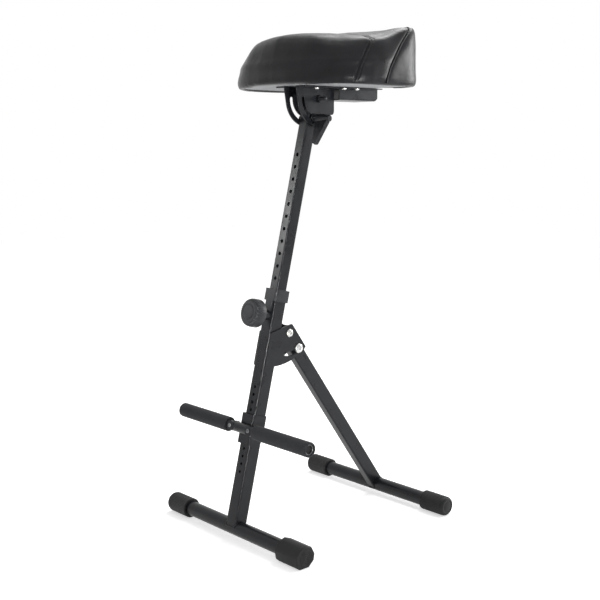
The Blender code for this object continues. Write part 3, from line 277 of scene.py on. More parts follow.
# moulded rubber: matt black with a soft bloom and the fine skin of the mould
rubber = {
    "dark": "#141415", "pale": "#1c1c1e", "roughness": (0.46, 0.60), "shine": 0.25, "metallic": 0.0,
    "cloud": {"Scale": 1000 / 12, "Detail": 4.0}, "roughFrom": "cloud",
    "grain": {"Scale": 1000 / 0.8, "Detail": 2.0}, "bump": {"Strength": 0.4, "Distance": 0.00004},
}
# injection moulded nylon with a spark-eroded mould skin: fine even stipple, soft highlights
nylon = {
    "dark": "#1f2022", "pale": "#28292c", "roughness": (0.38, 0.48), "shine": 0.3, "metallic": 0.0,
    "cloud": {"Scale": 1000 / 15, "Detail": 2.0}, "roughFrom": "cloud",
    "grain": {"Scale": 1000 / 0.8, "Detail": 1.0}, "bump": {"Strength": 0.5, "Distance": 0.00003},
}
# die-cast zinc with black paint: gently uneven from the casting, smoother than the powder coat
casting = {
    "dark": "#17181a", "pale": "#202124", "roughness": (0.26, 0.36), "shine": 0.3, "metallic": 0.0,
    "cloud": {"Scale": 1000 / 6.0, "Detail": 3.0}, "roughFrom": "cloud",
    "grain": {"Scale": 1000 / 6.0, "Detail": 3.0}, "bump": {"Strength": 0.4, "Distance": 0.00012},
}


def mottledSkin(name, look):
    # broad clouds carry the colour, the fine grain carries the relief
    material, tree, shader = startMaterial(name)
    place = {"Vector": addNode(tree, "ShaderNodeTexCoord").outputs["Object"]}
    textures = {key: addNode(tree, "ShaderNodeTexNoise", look[key], place) for key in ("cloud", "grain")}
    bump = addNode(tree, "ShaderNodeBump", look["bump"], {"Height": textures["grain"].outputs["Fac"]})
    finishSurface(tree, shader, look, textures["cloud"], textures[look["roughFrom"]], bump)
    shader.inputs["Metallic"].default_value = look["metallic"]
    return material


# extruded foam rubber sleeve: dull dark grey with open cells, drawn at 1.1 mm so that they show
foam = {
    "dark": "#1b1c1e", "pale": "#27282b", "roughness": (0.70, 0.86), "shine": 0.25, "sheen": 0.04,
    "cloud": {"Scale": 1000 / 8.0, "Detail": 4.0},
    "cells": {"Scale": 1000 / 1.1}, "bump": {"Strength": 0.7, "Distance": 0.00012},
}


def foamRubber():
    material, tree, shader = startMaterial("extruded foam rubber")
    place = {"Vector": addNode(tree, "ShaderNodeTexCoord").outputs["Object"]}
    cells = addNode(tree, "ShaderNodeTexVoronoi", foam["cells"], place)
    cloud = addNode(tree, "ShaderNodeTexNoise", foam["cloud"], place)
    bump = addNode(tree, "ShaderNodeBump", foam["bump"], {"Height": cells.outputs["Distance"]})
    finishSurface(tree, shader, foam, cloud, cloud, bump)
    shader.inputs["Sheen Weight"].default_value = foam["sheen"]
    return material


# birch plywood with a thin grey primer: the grain still reads as fine streaks along x
board = {
    "dark": "#838486", "pale": "#929395", "roughness": (0.60, 0.75), "shine": 0.5,
    "stretch": {"Scale": (0.08, 1.0, 1.0)}, "grain": {"Scale": 1000 / 2.0, "Detail": 4.0},
    "bump": {"Strength": 0.4, "Distance": 0.00008},
}


def primedPlywood():
    material, tree, shader = startMaterial("primed birch plywood")
    place = {"Vector": addNode(tree, "ShaderNodeTexCoord").outputs["Object"]}
    streak = addNode(tree, "ShaderNodeMapping", board["stretch"], place)
    grain = addNode(tree, "ShaderNodeTexNoise", board["grain"], {"Vector": streak.outputs["Vector"]})
    bump = addNode(tree, "ShaderNodeBump", board["bump"], {"Height": grain.outputs["Fac"]})
    finishSurface(tree, shader, board, grain, grain, bump)
    return material


# PVC leatherette, calendered and embossed: small pebbled grain with a soft satin shine
leather = {
    "dark": "#111113", "pale": "#18181b", "roughness": (0.26, 0.36), "shine": 0.18,
    "cloud": {"Scale": 1000 / 45, "Detail": 4.0},
    "bend": {"Scale": 1000 / 4.0, "Detail": 1.0}, "drift": {1: (0.0016, 0.0016, 0.0016)},
    "pebbles": {"Scale": 1000 / 1.7}, "valley": {"From Min": 0.0, "From Max": 0.22},
    "pebbleBump": {"Strength": 0.55, "Distance": 0.00010},
    "pores": {"Scale": 1000 / 0.6, "Detail": 2.0}, "poreBump": {"Strength": 0.3, "Distance": 0.00003},
}


def embossedLeatherette():
    material, tree, shader = startMaterial("embossed leatherette black")
    place = {"Vector": addNode(tree, "ShaderNodeTexCoord").outputs["Object"]}
    # the cells are bent out of their straight sides before they become pebbles
    bend = addNode(tree, "ShaderNodeTexNoise", leather["bend"], place)
    drift = addNode(tree, "ShaderNodeVectorMath", leather["drift"], {0: bend.outputs["Color"]},
                    operation="MULTIPLY")
    moved = addNode(tree, "ShaderNodeVectorMath", None, {0: place["Vector"], 1: drift.outputs["Vector"]},
                    operation="ADD")
    pebbles = addNode(tree, "ShaderNodeTexVoronoi", leather["pebbles"], {"Vector": moved.outputs["Vector"]},
                      feature="DISTANCE_TO_EDGE")
    rounded = addNode(tree, "ShaderNodeMapRange", leather["valley"], {"Value": pebbles.outputs["Distance"]},
                      interpolation_type="SMOOTHSTEP")
    pores = addNode(tree, "ShaderNodeTexNoise", leather["pores"], place)
    cloud = addNode(tree, "ShaderNodeTexNoise", leather["cloud"], place)
    grain = addNode(tree, "ShaderNodeBump", leather["pebbleBump"], {"Height": rounded.outputs["Result"]})
    fine = addNode(tree, "ShaderNodeBump", leather["poreBump"],
                   {"Height": pores.outputs["Fac"], "Normal": grain.outputs["Normal"]})
    finishSurface(tree, shader, leather, cloud, cloud, fine)
    return material


# bonded polyester sewing thread: dull black with its twist, drawn far coarser than life so that it shows; the
# raised plies are painted paler as a painted highlight and the grooves between them darker as painted shade the
# wave's diagonal bands are 200 pi / scale millimetres apart along an axis
thread = {
    "dark": "#0f0f10", "pale": "#232325", "roughness": 0.7,
    "twist": {"Scale": 200 * math.pi / 4.75, "Distortion": 1.5},
    "bump": {"Strength": 0.6, "Distance": 0.0001},
}


def sewingThread():
    material, tree, shader = startMaterial("bonded polyester thread")
    place = {"Vector": addNode(tree, "ShaderNodeTexCoord").outputs["Object"]}
    twist = addNode(tree, "ShaderNodeTexWave", thread["twist"], place, bands_direction="DIAGONAL")
    # painted highlight and painted shade: the same wave as the bump makes the raised plies paler and the grooves
    # darker
    colour = addNode(tree, "ShaderNodeValToRGB", None, {"Fac": twist.outputs["Fac"]},
                     stops=zip(toneSpan, (thread["dark"], thread["pale"])))
    bump = addNode(tree, "ShaderNodeBump", thread["bump"], {"Height": twist.outputs["Fac"]})
    tree.links.new(colour.outputs["Color"], shader.inputs["Base Color"])
    tree.links.new(bump.outputs["Normal"], shader.inputs["Normal"])
    shader.inputs["Roughness"].default_value = thread["roughness"]
    return material


paint = powderCoatedSteel()
zinc = mottledSkin("bright zinc plated steel", plate)
dullZinc = mottledSkin("dull zinc plated steel", dullPlate)
capRubber = mottledSkin("moulded rubber matt black", rubber)
sleeveFoam = foamRubber()
plastic = mottledSkin("moulded nylon black", nylon)
castPaint = mottledSkin("die cast zinc painted black", casting)
plywood = primedPlywood()
hide = embossedLeatherette()
yarn = sewingThread()
finishes = {
    "powder_coat": paint, "zinc_plate": zinc, "nylon": plastic, "rubber": capRubber,
    "foam_rubber": sleeveFoam, "knob_plastic": plastic, "lever_metal": castPaint, "plywood": plywood,
    "leatherette": hide,
}
for name, node in nodes.items():
    node.data.materials.clear()
    node.data.materials.append(finishes[slotOf[name]])
print("materials ready,", len(bpy.data.materials))


# frame of the stool: tubes, plates and pressings straight from the CAD, with broken edges

softPieces = {
    "front_foot_bar": ("frontBar", 0.0006), "rear_foot_bar": ("rearBar", 0.0006),
    "lower_post_tube": ("lowerPost", 0.0004), "upper_tube": ("upperPost", 0.0004),
    "rear_leg_tube": ("rearLeg", 0.0005), "post_collar": ("postCollar", 0.0008),
    "pin_housing": ("lockHousing", 0.0005), "hinge_cheek_left": ("hingeCheekLeft", 0.0005),
    "hinge_cheek_right": ("hingeCheekRight", 0.0005), "tilt_plate_left": ("tiltPlateLeft", 0.0006),
    "tilt_plate_right": ("tiltPlateRight", 0.0006), "seat_channel": ("seatChannel", 0.0006),
    "seat_board": ("seatBoard", 0.0012), "tilt_lever": ("tiltLever", 0.0014),
    "footrest_bracket": ("restBracket", 0.0006), "footrest_tube": ("restCrossTube", 0.0007),
    "levelling_cap": ("levellingCap", 0.0013), "hinge_pivot_nut": ("hingeNut", 0.0006),
    "guide_nut": ("guideNut", 0.0006), "tilt_pivot_nut": ("tiltNut", 0.0006),
    "clamp_washer": ("clampWasher", 0.0004), "upper_tube_cap": ("upperTubeCap", 0.0005),
    "lock_pin": ("lockPin", 0.0003), "footrest_back_pin": ("restBackPin", 0.0003),
}
edgeShape = {"merge": 0.000005, "flat": 0.6, "corner": 42, "wide": 0.001, "sharp": 70, "weight": 80}


def softened(node, name, bevel):
    # a CAD node with its edges broken, as deburred or moulded edges are, so that they catch light
    bm = bmesh.new()
    bm.from_mesh(nodes[node].data)
    bmesh.ops.remove_doubles(bm, verts=bm.verts, dist=edgeShape["merge"])
    bmesh.ops.dissolve_limit(bm, angle_limit=math.radians(edgeShape["flat"]), verts=bm.verts, edges=bm.edges)
    piece = newPiece(name, meshOf(bm), finishes[slotOf[node]], bodyOf[node], (node,))
    edges = piece.modifiers.new("edges", "BEVEL")
    edges.width = bevel
    edges.segments = 3 if bevel > edgeShape["wide"] else 2
    edges.limit_method = "ANGLE"
    edges.angle_limit = math.radians(edgeShape["corner"])
    baked(piece)
    piece.data.shade_smooth()
    piece.data.set_sharp_from_angle(angle=math.radians(edgeShape["sharp"]))
    normals = piece.modifiers.new("normals", "WEIGHTED_NORMAL")
    normals.keep_sharp = True
    normals.weight = edgeShape["weight"]
    baked(piece)


def frameParts():
    for node, (name, bevel) in softPieces.items():
        softened(node, name, bevel)
    print("frame parts,", len(softPieces))


# ribbed rubber caps on the foot bars, flat on the floor

capShape = {
    "ribs": 40, "ribDepth": 0.0006, "steps": 240, "bore": 0.0153, "boreDepth": 0.012, "mouth": 0.0012,
    "shoulder": 0.0075, "shoulderTurns": (15, 30, 45, 60, 75, 90),
    # distance in from the end, share of the radius
    "dish": ((0.0, 0.66), (0.0006, 0.62), (0.0006, 0.55), (0.0002, 0.5)),
}
footCaps = {
    "front_foot_cap_left": ("frontCapLeft", -1), "rear_foot_cap_left": ("rearCapLeft", -1),
    "rear_foot_cap_right": ("rearCapRight", 1),
}


def ribbedCap(node, name, side):
    low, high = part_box(node)
    radius = (high.y - low.y) / 2
    length = high.x - low.x
    start = low.x if side > 0 else high.x
    place = Matrix.Translation((start, (low.y + high.y) / 2, barAxis.z)) @ towardsX(side)
    bore = capShape["bore"]
    mouth = capShape["mouth"]
    end = length - capShape["shoulder"]
    profile = [(capShape["boreDepth"], bore), (0.0, bore), (0.0, radius - mouth),
               (mouth * 0.3, radius - mouth * 0.3), (mouth, radius), (mouth * 2.2, radius),
               (mouth * 2.4, radius), (end - 0.001, radius), (end, radius)]
    for turn in capShape["shoulderTurns"]:
        bend = math.radians(turn)
        along = end + capShape["shoulder"] * math.sin(bend) ** 1.2
        profile.append((along, radius * (0.72 + 0.28 * math.cos(bend))))
    profile += [(length - inset, radius * share) for inset, share in capShape["dish"]]
    profile.append((length, 0.0))

    def ribs(angle, along, r):
        if along < mouth * 2.3 or along > end + 0.0005 or r < radius * 0.9:
            return r
        wave = 0.5 - 0.5 * math.cos(capShape["ribs"] * angle)
        return r - capShape["ribDepth"] * wave ** 2

    mesh = turned(profile, capShape["steps"], place, ribs)
    for vertex in mesh.vertices:
        vertex.co.z = max(vertex.co.z, low.z)       # the moulded flat it stands on
    newPiece(name, mesh, capRubber, bodyOf[node], (node,), smooth=50)


# stepped rings moulded on the levelling cap's outer face

faceRings = {
    "radii": (0.0150, 0.0118, 0.0086, 0.0054), "step": 0.0005, "slope": 0.0005, "land": 0.0018,
    "sink": 0.0004, "steps": 72,
}


def levellerFace():
    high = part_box("levelling_cap")[1]
    place = Matrix.Translation((high.x, barAxis.y, barAxis.z)) @ towardsX(1)
    step = faceRings["step"]
    slope = faceRings["slope"]
    profile = [(-faceRings["sink"], 0.0), (-faceRings["sink"], faceRings["radii"][0])]
    for radius in faceRings["radii"]:
        inner = radius - faceRings["land"]
        profile += [(0.0, radius), (step, radius - slope), (step, inner), (0.0, inner - slope)]
    profile.append((0.0, 0.0))
    slot = slotOf["levelling_cap"]
    newPiece("levellerFaceRings", turned(profile, faceRings["steps"], place), finishes[slot], "leveller",
             slot=slot, smooth=40)


def caps():
    for node, (name, side) in footCaps.items():
        ribbedCap(node, name, side)
    levellerFace()
    print("caps")


# height knob: a smooth tyre with flutes on its front shoulder and a plain cover disc

knobShape = {
    "flutes": 36, "fluteDepth": 0.0012, "fluteRun": 0.0110, "fluteFade": 0.003, "fluteEdge": 0.0072,
    "hollow": 0.0126, "skirt": 0.006, "disc": 0.0152, "discGap": 0.0003, "steps": 240, "discSteps": 96,
    # distance in from the back or from the face, and in from the rim
    "backCurve": ((0.0, 0.0042), (0.0004, 0.0026), (0.0014, 0.0009), (0.0030, 0.0)),
    "faceCurve": ((0.0105, 0.0), (0.0075, 0.0003), (0.0048, 0.0009), (0.0026, 0.0021), (0.0010, 0.0040),
                  (0.0002, 0.0056), (0.0, 0.0070)),
}


def heightKnob():
    axis = Vector(jointOf["height_knob_turn"]["pos_m"])
    pin = tipped(axis, postLean) @ forward
    inward = pin.inverted()
    local = [inward @ vertex.co for vertex in nodes["height_knob"].data.vertices]
    back, face = min(p.z for p in local), max(p.z for p in local)
    r = max(p.xy.length for p in local)
    d = knobShape["disc"]
    rim = d + knobShape["discGap"]
    hollow = knobShape["hollow"]
    roof = back + knobShape["skirt"]
    profile = [(roof + 0.004, 0.003), (roof, 0.0036), (roof, hollow), (back + 0.0006, hollow),
               (back, hollow + 0.0008)]
    profile += [(back + along, r - inset) for along, inset in knobShape["backCurve"]]
    profile += [(face - along, r - inset) for along, inset in knobShape["faceCurve"]]
    profile += [(face, rim + 0.0012), (face - 0.0003, rim), (face - 0.0010, rim), (face - 0.0010, 0.0)]

    def flutes(angle, along, radius):
        if along < face - knobShape["fluteRun"] or radius < r - knobShape["fluteEdge"]:
            return radius
        hold = min(1.0, (along - face + knobShape["fluteRun"]) / knobShape["fluteFade"])
        wave = 0.5 - 0.5 * math.cos(knobShape["flutes"] * angle)
        return radius - knobShape["fluteDepth"] * hold * wave ** 1.5

    mesh = turned(profile, knobShape["steps"], pin, flutes)
    newPiece("heightKnob", mesh, plastic, "knob", ("height_knob",), smooth=50)
    cover = [(face - 0.0009, 0.0), (face - 0.0009, d), (face - 0.0001, d), (face + 0.0003, d - 0.0005),
             (face + 0.0005, d * 0.75), (face + 0.0006, d * 0.4), (face + 0.0006, 0.0)]
    mesh = turned(cover, knobShape["discSteps"], pin)
    newPiece("knobCover", mesh, plastic, "knob", ("knob_cover",), smooth=50)
    print("height knob")


# bolts along x with a domed head, hex socket and rolled thread

boltShape = {
    "radius": 0.004, "loose": 0.00005, "pitch": 0.00125, "threadDepth": 0.00045, "point": 0.0009,
    "rise": 0.0042, "socket": 0.0026, "socketDepth": 0.0022, "socketEdge": 0.0002, "socketCone": 0.0004,
    "steps": 48,
    # share of the head's rise, share of its radius
    "dome": ((0.25, 1.0), (0.48, 0.93), (0.72, 0.80), (0.90, 0.62), (0.98, 0.48)),
}
# name, side of the head, length of thread
bolts = {
    "hinge_pivot_bolt": ("hingeBolt", 1, 0.010), "guide_bolt": ("guideBolt", 1, 0.010),
    "tilt_pivot_bolt": ("tiltBolt", -1, 0.022), "tilt_clamp_bolt": ("clampBolt", -1, 0.020),
}


def domedBolt(node, name, headSide, threadLength):
    low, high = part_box(node)
    headRadius = (high.y - low.y) / 2
    rise = boltShape["rise"]
    headSeat = high.x - rise if headSide > 0 else low.x + rise
    tail = low.x if headSide > 0 else high.x
    place = Matrix.Translation((headSeat, (low.y + high.y) / 2, (low.z + high.z) / 2)) @ towardsX(headSide)
    length = abs(headSeat - tail)
    r = boltShape["radius"] - boltShape["loose"]
    steps = boltShape["steps"]
    profile = [(-length, 0.0), (-length, r - boltShape["point"])]
    along = -length + 0.0005
    while along < -length + threadLength:
        profile.append((along, r))
        profile.append((along + boltShape["pitch"] / 2, r - boltShape["threadDepth"]))
        along += boltShape["pitch"]
    profile += [(along, r), (0.0, r), (0.0, headRadius - 0.0003), (0.0003, headRadius)]
    profile += [(rise * up, headRadius * out) for up, out in boltShape["dome"]]
    rings = turnedRings(profile, steps, place)
    bottom = rise - boltShape["socketDepth"]
    for height, size in ((rise, 1.08), (rise - boltShape["socketEdge"], 1.0), (bottom, 1.0)):
        ring = []
        for i in range(steps):
            angle = 2 * math.pi * i / steps
            flat = (angle + math.pi / 6) % (math.pi / 3) - math.pi / 6
            reach = boltShape["socket"] * size / math.cos(flat)
            ring.append(place @ Vector((reach * math.cos(angle), reach * math.sin(angle), height)))
        rings.append(ring)
    rings.append([place @ Vector((0.0, 0.0, bottom - boltShape["socketCone"]))])
    newPiece(name, lofted(rings), finishes[slotOf[node]], bodyOf[node], (node,), smooth=38)


# pan head screws with a cross recess: six under the seat, one through each footrest knuckle

screwShape = {"steps": 64, "rows": 14, "edge": 0.35, "crossHalf": 0.17, "crossReach": 0.62, "crossDepth": 0.5}
seatScrew = {"count": 6, "rise": 0.0034, "shank": 0.0022, "turn": 0.4}
restScrew = {"radius": 0.0040, "rise": 0.0022, "shank": 0.0021, "length": 0.0197, "out": 0.0107, "turn": 0.5,
             "turnApart": 0.3}


def panScrew(node, name, place, headRadius, rise, shank, length, metal):
    # place carries the head's seat at zero, with the head above it
    steps = screwShape["steps"]
    rows = screwShape["rows"]
    edge = screwShape["edge"]
    profile = [(-length, 0.0), (-length, shank), (0.0, shank), (0.0, headRadius), (rise * edge, headRadius)]
    rings = turnedRings(profile, steps, place)
    for row in range(1, rows):
        share = 1 - row / rows
        ring = []
        for i in range(steps):
            angle = 2 * math.pi * i / steps
            u = share * math.cos(angle)
            v = share * math.sin(angle)
            height = rise * (edge + (1 - edge) * math.sqrt(max(0.0, 1 - share ** 2.6)))
            if min(abs(u), abs(v)) < screwShape["crossHalf"] and share < screwShape["crossReach"]:
                height -= rise * screwShape["crossDepth"]
            ring.append(place @ Vector((u * headRadius, v * headRadius, height)))
        rings.append(ring)
    rings.append([place @ Vector((0.0, 0.0, rise * (1 - screwShape["crossDepth"])))])
    newPiece(name, lofted(rings), metal, bodyOf[node], (node,), smooth=35)


def fasteners():
    for node, (name, headSide, threadLength) in bolts.items():
        domedBolt(node, name, headSide, threadLength)
    s = seatScrew
    for k in range(1, s["count"] + 1):
        node = "seat_screw_%d" % k
        low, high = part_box(node)
        centre = ((low.x + high.x) / 2, (low.y + high.y) / 2, low.z + s["rise"])
        place = tipped(centre, math.pi) @ Matrix.Rotation(s["turn"] * k, 4, "Z")
        panScrew(node, "seatScrew%d" % k, place, (high.x - low.x) / 2, s["rise"], s["shank"],
                 high.z - low.z - s["rise"], zinc)
    s = restScrew
    for side, word, label in ((-1, "Left", "left"), (1, "Right", "right")):
        pivot = Vector(jointOf["peg_" + label + "_fold"]["pos_m"])
        place = tipped(pivot, postLean) @ forward @ Matrix.Translation((0.0, 0.0, s["out"]))
        place = place @ Matrix.Rotation(s["turn"] + side * s["turnApart"], 4, "Z")
        panScrew("footrest_screw_" + label, "restScrew" + word, place, s["radius"], s["rise"], s["shank"],
                 s["length"], dullZinc)
    print("bolts and screws")


# footrest pegs: foam sleeves with soft ends, a recessed end plug and the tube's bare end round it

pegShape = {"bevel": 0.0005}
sleeveShape = {"radius": 0.0145, "round": 0.0026, "roundTurns": (0, 18, 36, 54, 72, 90), "bore": 0.0103,
               "steps": 72}
plugShape = {"radius": 0.0084, "set": 0.0027, "ring": 0.0068, "depth": 0.0018, "tubeEnd": 0.0101, "steps": 64}


def roundedEnd(along, radius, inward):
    # a quarter round from the end face out to the side, at either end of a sleeve
    curl = sleeveShape["round"]
    points = []
    for turn in sleeveShape["roundTurns"]:
        bend = math.radians(turn)
        points.append((along + inward * curl * (1 - math.cos(bend)), radius - curl * (1 - math.sin(bend))))
    return points


def sleeveProfile(start, end):
    radius = sleeveShape["radius"]
    bore = sleeveShape["bore"]
    inner = [(start + 0.0015, bore), (start + 0.0002, bore + 0.0006)]
    middle = [(start + (end - start) * k / 8, radius) for k in range(1, 8)]
    outer = [(end - 0.0002, bore + 0.0006), (end - 0.0015, bore)]
    return inner + roundedEnd(start, radius, 1) + middle + roundedEnd(end, radius, -1)[::-1] + outer


def plugProfile(face):
    r = plugShape["radius"]
    ring = plugShape["ring"]
    floor = face - plugShape["depth"]
    return [(face - 0.003, 0.0), (face - 0.003, r), (face - 0.0010, r), (face - 0.0003, r - 0.0003),
            (face, r - 0.0012), (face, ring + 0.0010), (face - 0.0004, ring), (floor, ring - 0.0003),
            (floor + 0.0002, ring * 0.5), (floor + 0.0003, 0.0)]


def tubeEndProfile(face):
    # worn bare of its paint
    inner = plugShape["radius"] + 0.0001
    outer = plugShape["tubeEnd"]
    return [(face - 0.0016, inner), (face - 0.0002, inner), (face + 0.0002, plugShape["radius"] + 0.0005),
            (face + 0.0002, outer - 0.0005), (face - 0.0002, outer), (face - 0.0016, outer)]


def footrestPegs():
    for side, word, label in ((-1, "Left", "left"), (1, "Right", "right")):
        body = "peg_" + label
        pivot = Vector(jointOf[body + "_fold"]["pos_m"])
        place = tipped((0.0, pivot.y, pivot.z), postLean) @ towardsX(side)
        low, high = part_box("footrest_sleeve_" + label)
        start, end = sorted((abs(low.x), abs(high.x)))
        face = end - plugShape["set"]
        softened("footrest_peg_" + label, "restPeg" + word, pegShape["bevel"])
        mesh = turned(sleeveProfile(start, end), sleeveShape["steps"], place, ring=True)
        newPiece("restSleeve" + word, mesh, sleeveFoam, body, ("footrest_sleeve_" + label,), smooth=50)
        mesh = turned(plugProfile(face), plugShape["steps"], place)
        newPiece("restPlug" + word, mesh, capRubber, body, ("footrest_plug_" + label,), smooth=40)
        mesh = turned(tubeEndProfile(face), plugShape["steps"], place, ring=True)
        newPiece("restTubeEnd" + word, mesh, dullZinc, body, slot="zinc_plate", smooth=40)
    print("footrest pegs")


# weld beads, painted over with the tubes

beadShape = {
    "radius": 0.0016, "ripple": 0.0002, "pointsInRipple": 4, "spacing": 0.0008, "lift": 0.0003, "steps": 10,
    "barRadius": 0.015,
    # half sizes and corner of the tube that stands on the bar
    "post": (0.0152, 0.0149, 0.0035), "leg": (0.0102, 0.0149, 0.003),
}


def roundedSquare(halfX, halfY, corner, steps=6):
    points = []
    for cx, cy, start in ((1, 1, 0), (-1, 1, 90), (-1, -1, 180), (1, -1, 270)):
        for k in range(steps + 1):
            angle = math.radians(start + 90 * k / steps)
            x = cx * (halfX - corner) + corner * math.cos(angle)
            y = cy * (halfY - corner) + corner * math.sin(angle)
            points.append((x, y))
    return points


def weldBead(name, outline, place, body):
    bar = beadShape["barRadius"]
    path = []
    for x, y in outline:
        z = math.sqrt(max(0.0, bar ** 2 - y * y)) + beadShape["lift"]
        path.append(place @ Vector((x, y, z)))
    path = evenly(path, beadShape["spacing"], True)
    turn = 2 * math.pi / beadShape["pointsInRipple"]

    def ripple(i):
        return beadShape["radius"] + beadShape["ripple"] * math.sin(i * turn)

    mesh = lofted(tubeRings(path, ripple, beadShape["steps"], True), ring=True)
    newPiece(name, mesh, paint, body, slot="powder_coat", smooth=60)


def welds():
    weldBead("postWeld", roundedSquare(*beadShape["post"]), postFrame, "base")
    foot = legFrame @ Matrix.Translation((0.0, 0.0, -legReach))
    weldBead("legWeld", roundedSquare(*beadShape["leg"]), foot, "rear_leg")
    print("weld beads")


# seat cushion: foam under a leatherette cover, with a top-stitched seam in front and a piped seam behind,
# both swept back

seat = {
    "voxel": 0.004, "relax": 4, "relaxFactor": 0.5, "shrink": 0.0020, "pressure": 4.0, "frames": 16,
    "cap": 0.0022, "evenOut": 14, "heldBelow": 0.012, "heldFade": 0.02,
    "frontStart": 0.0108, "widest": 0.8971, "widestBand": 0.0006, "bowLess": 0.002, "frontPower": 2.4,
    "frontSeam": {"y": -0.0428, "z": 0.884, "slope": 0.2155, "sweep": 4.28},
    "rearSeam": {"y": 0.0280, "z": 0.884, "slope": 0.228, "sweep": 4.72},
    "sewnFrom": 0.004, "sewnFade": 0.010, "creaseDepth": 0.0021, "creaseWidth": 0.0015,
    "rowGap": 0.0045, "rowDepth": 0.0011, "rowWidth": 0.0013, "rearDepth": 0.0020, "rearWidth": 0.0024,
    "puff": 0.0010, "puffWidth": 0.011,
    "ridge": 0.925, "ridgeRise": 0.0020, "ridgeHalf": 0.008, "ridgeFade": 0.02,
    "pucker": 0.0006, "puckerGrain": (130, 35, 70), "puckerReach": (0.010, 0.012), "puckerRear": 0.8,
    "rumple": 0.0007, "rumpleGrain": 22, "crumple": 0.0002, "crumpleGrain": 60, "crumpleShift": (3, 1, 7),
    "settle": 0.0070, "settleAcross": (0.105, 0.172), "settleAlong": (-0.075, 0.060),
    "settleAbove": (0.925, 0.965),
}
# edge loops beside each seam, in millimetres behind it
seamLoops = {
    "frontSeam": (-6, -4.2, -2.7, -1.7, -0.9, 0.0, 0.9, 1.7, 2.9, 4.2, 5.2, 6.2, 7.2, 9),
    "rearSeam": (-8, -6, -4.2, -2.8, -1.4, 0.0, 1.4, 2.8, 4.2, 6, 8),
}
coverCloth = {
    "quality": 5, "mass": 0.4, "tension_stiffness": 20, "compression_stiffness": 20, "shear_stiffness": 12,
    "bending_stiffness": 1.0, "use_pressure": True, "uniform_pressure_force": seat["pressure"],
    "vertex_group_mass": "held",
}


def seamSweep(seam, z):
    # how far back the seam has gone at this height, and how fast
    t = max(0.0, z - seam["z"])
    return seam["slope"] * t + seam["sweep"] * t * t, seam["slope"] + 2 * seam["sweep"] * t


def fromSeam(seam, co):
    back, rate = seamSweep(seam, co.z)
    return (co.y - seam["y"] - back) / math.sqrt(1 + rate * rate)


def lean(bm, seam, way):
    # shears the mesh so that the swept seam becomes an upright plane, or back again
    for vert in bm.verts:
        vert.co.y += way * seamSweep(seam, vert.co.z)[0]


def cutAcross(bm, y):
    # cuts the whole mesh at this y and gives what lies on the cut
    geometry = bm.verts[:] + bm.edges[:] + bm.faces[:]
    cut = bmesh.ops.bisect_plane(bm, geom=geometry, dist=0.00002, plane_co=(0.0, y, 0.0),
                                 plane_no=(0.0, 1.0, 0.0))
    return cut["geom_cut"]


def fairFront(mesh):
    # the cover stretches the front outline to one fair curve, a superellipse close to the solid's own corners
    middle = Vector((0.0, seat["frontStart"]))
    spots = [vertex.co.xy - middle for vertex in mesh.vertices
             if abs(vertex.co.z - seat["widest"]) < seat["widestBand"]]
    reach = {round(math.atan2(-spot.y, abs(spot.x)), 4): spot.length for spot in spots}
    angles = sorted(reach)
    halfWidth = max(spot.x for spot in spots)
    depth = max(-spot.y for spot in spots) - seat["bowLess"]
    power = seat["frontPower"]
    for vertex in mesh.vertices:
        spot = vertex.co.xy - middle
        if spot.y >= 0.0:
            continue
        angle = math.atan2(-spot.y, abs(spot.x))
        k = min(max(bisect.bisect(angles, angle), 1), len(angles) - 1)
        a, b = angles[k - 1], angles[k]
        near, far = reach[a], reach[b]
        chord = near * far * math.sin(b - a) / (near * math.sin(angle - a) + far * math.sin(b - angle))
        fair = ((math.cos(angle) / halfWidth) ** power + (math.sin(angle) / depth) ** power) ** (-1 / power)
        vertex.co.xy = middle + spot * (fair / chord)


def cushionBlank():
    source = nodes["seat_cushion"]
    piece = newPiece("seatCushion", source.data.copy(), hide, "seat", ("seat_cushion",), smooth=180)
    fairFront(piece.data)
    remesh = piece.modifiers.new("remesh", "REMESH")
    remesh.mode = "VOXEL"
    remesh.voxel_size = seat["voxel"]
    relax = piece.modifiers.new("relax", "SMOOTH")
    relax.factor = seat["relaxFactor"]
    relax.iterations = seat["relax"]
    return baked(piece)


def inflate(piece):
    # cover pulled in a little, then blown up like a filled cushion; the underside stays on its board
    mesh = piece.data
    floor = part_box("seat_cushion")[0].z
    held = piece.vertex_groups.new(name="held")
    blank = [vertex.co.copy() for vertex in mesh.vertices]
    outward = [vertex.normal.copy() for vertex in mesh.vertices]
    for vertex, normal in zip(mesh.vertices, outward):
        lift = clamped((vertex.co.z - floor - seat["heldBelow"]) / seat["heldFade"])
        held.add([vertex.index], 1.0 - lift, "REPLACE")
        vertex.co -= normal * seat["shrink"] * lift
    cloth = piece.modifiers.new("cover", "CLOTH")
    for key, value in coverCloth.items():
        setattr(cloth.settings, key, value)
    cloth.settings.effector_weights.gravity = 0.0
    cloth.collision_settings.use_collision = False
    cloth.point_cache.frame_start = 1
    cloth.point_cache.frame_end = seat["frames"]
    scene = bpy.context.scene
    for step in range(1, seat["frames"] + 1):
        scene.frame_set(step)
    baked(piece)
    scene.frame_set(1)
    # the swell is taken along the cover's normals, capped and evened out, so that the cover stays taut
    cap = seat["cap"]
    swell = [min(cap, max(-cap, (vertex.co - start).dot(normal)))
             for vertex, start, normal in zip(piece.data.vertices, blank, outward)]
    for turn in range(seat["evenOut"]):
        total = swell[:]
        count = [1] * len(swell)
        for edge in piece.data.edges:
            a, b = edge.vertices
            total[a] += swell[b]
            total[b] += swell[a]
            count[a] += 1
            count[b] += 1
        swell = [t / n for t, n in zip(total, count)]
    middle = sum(swell) / len(swell)
    for vertex, start, normal, rise in zip(piece.data.vertices, blank, outward, swell):
        vertex.co = start + normal * (rise - middle)
    print("cover swell, mm", [round(value * 1000, 2) for value in (min(swell), middle, max(swell))])


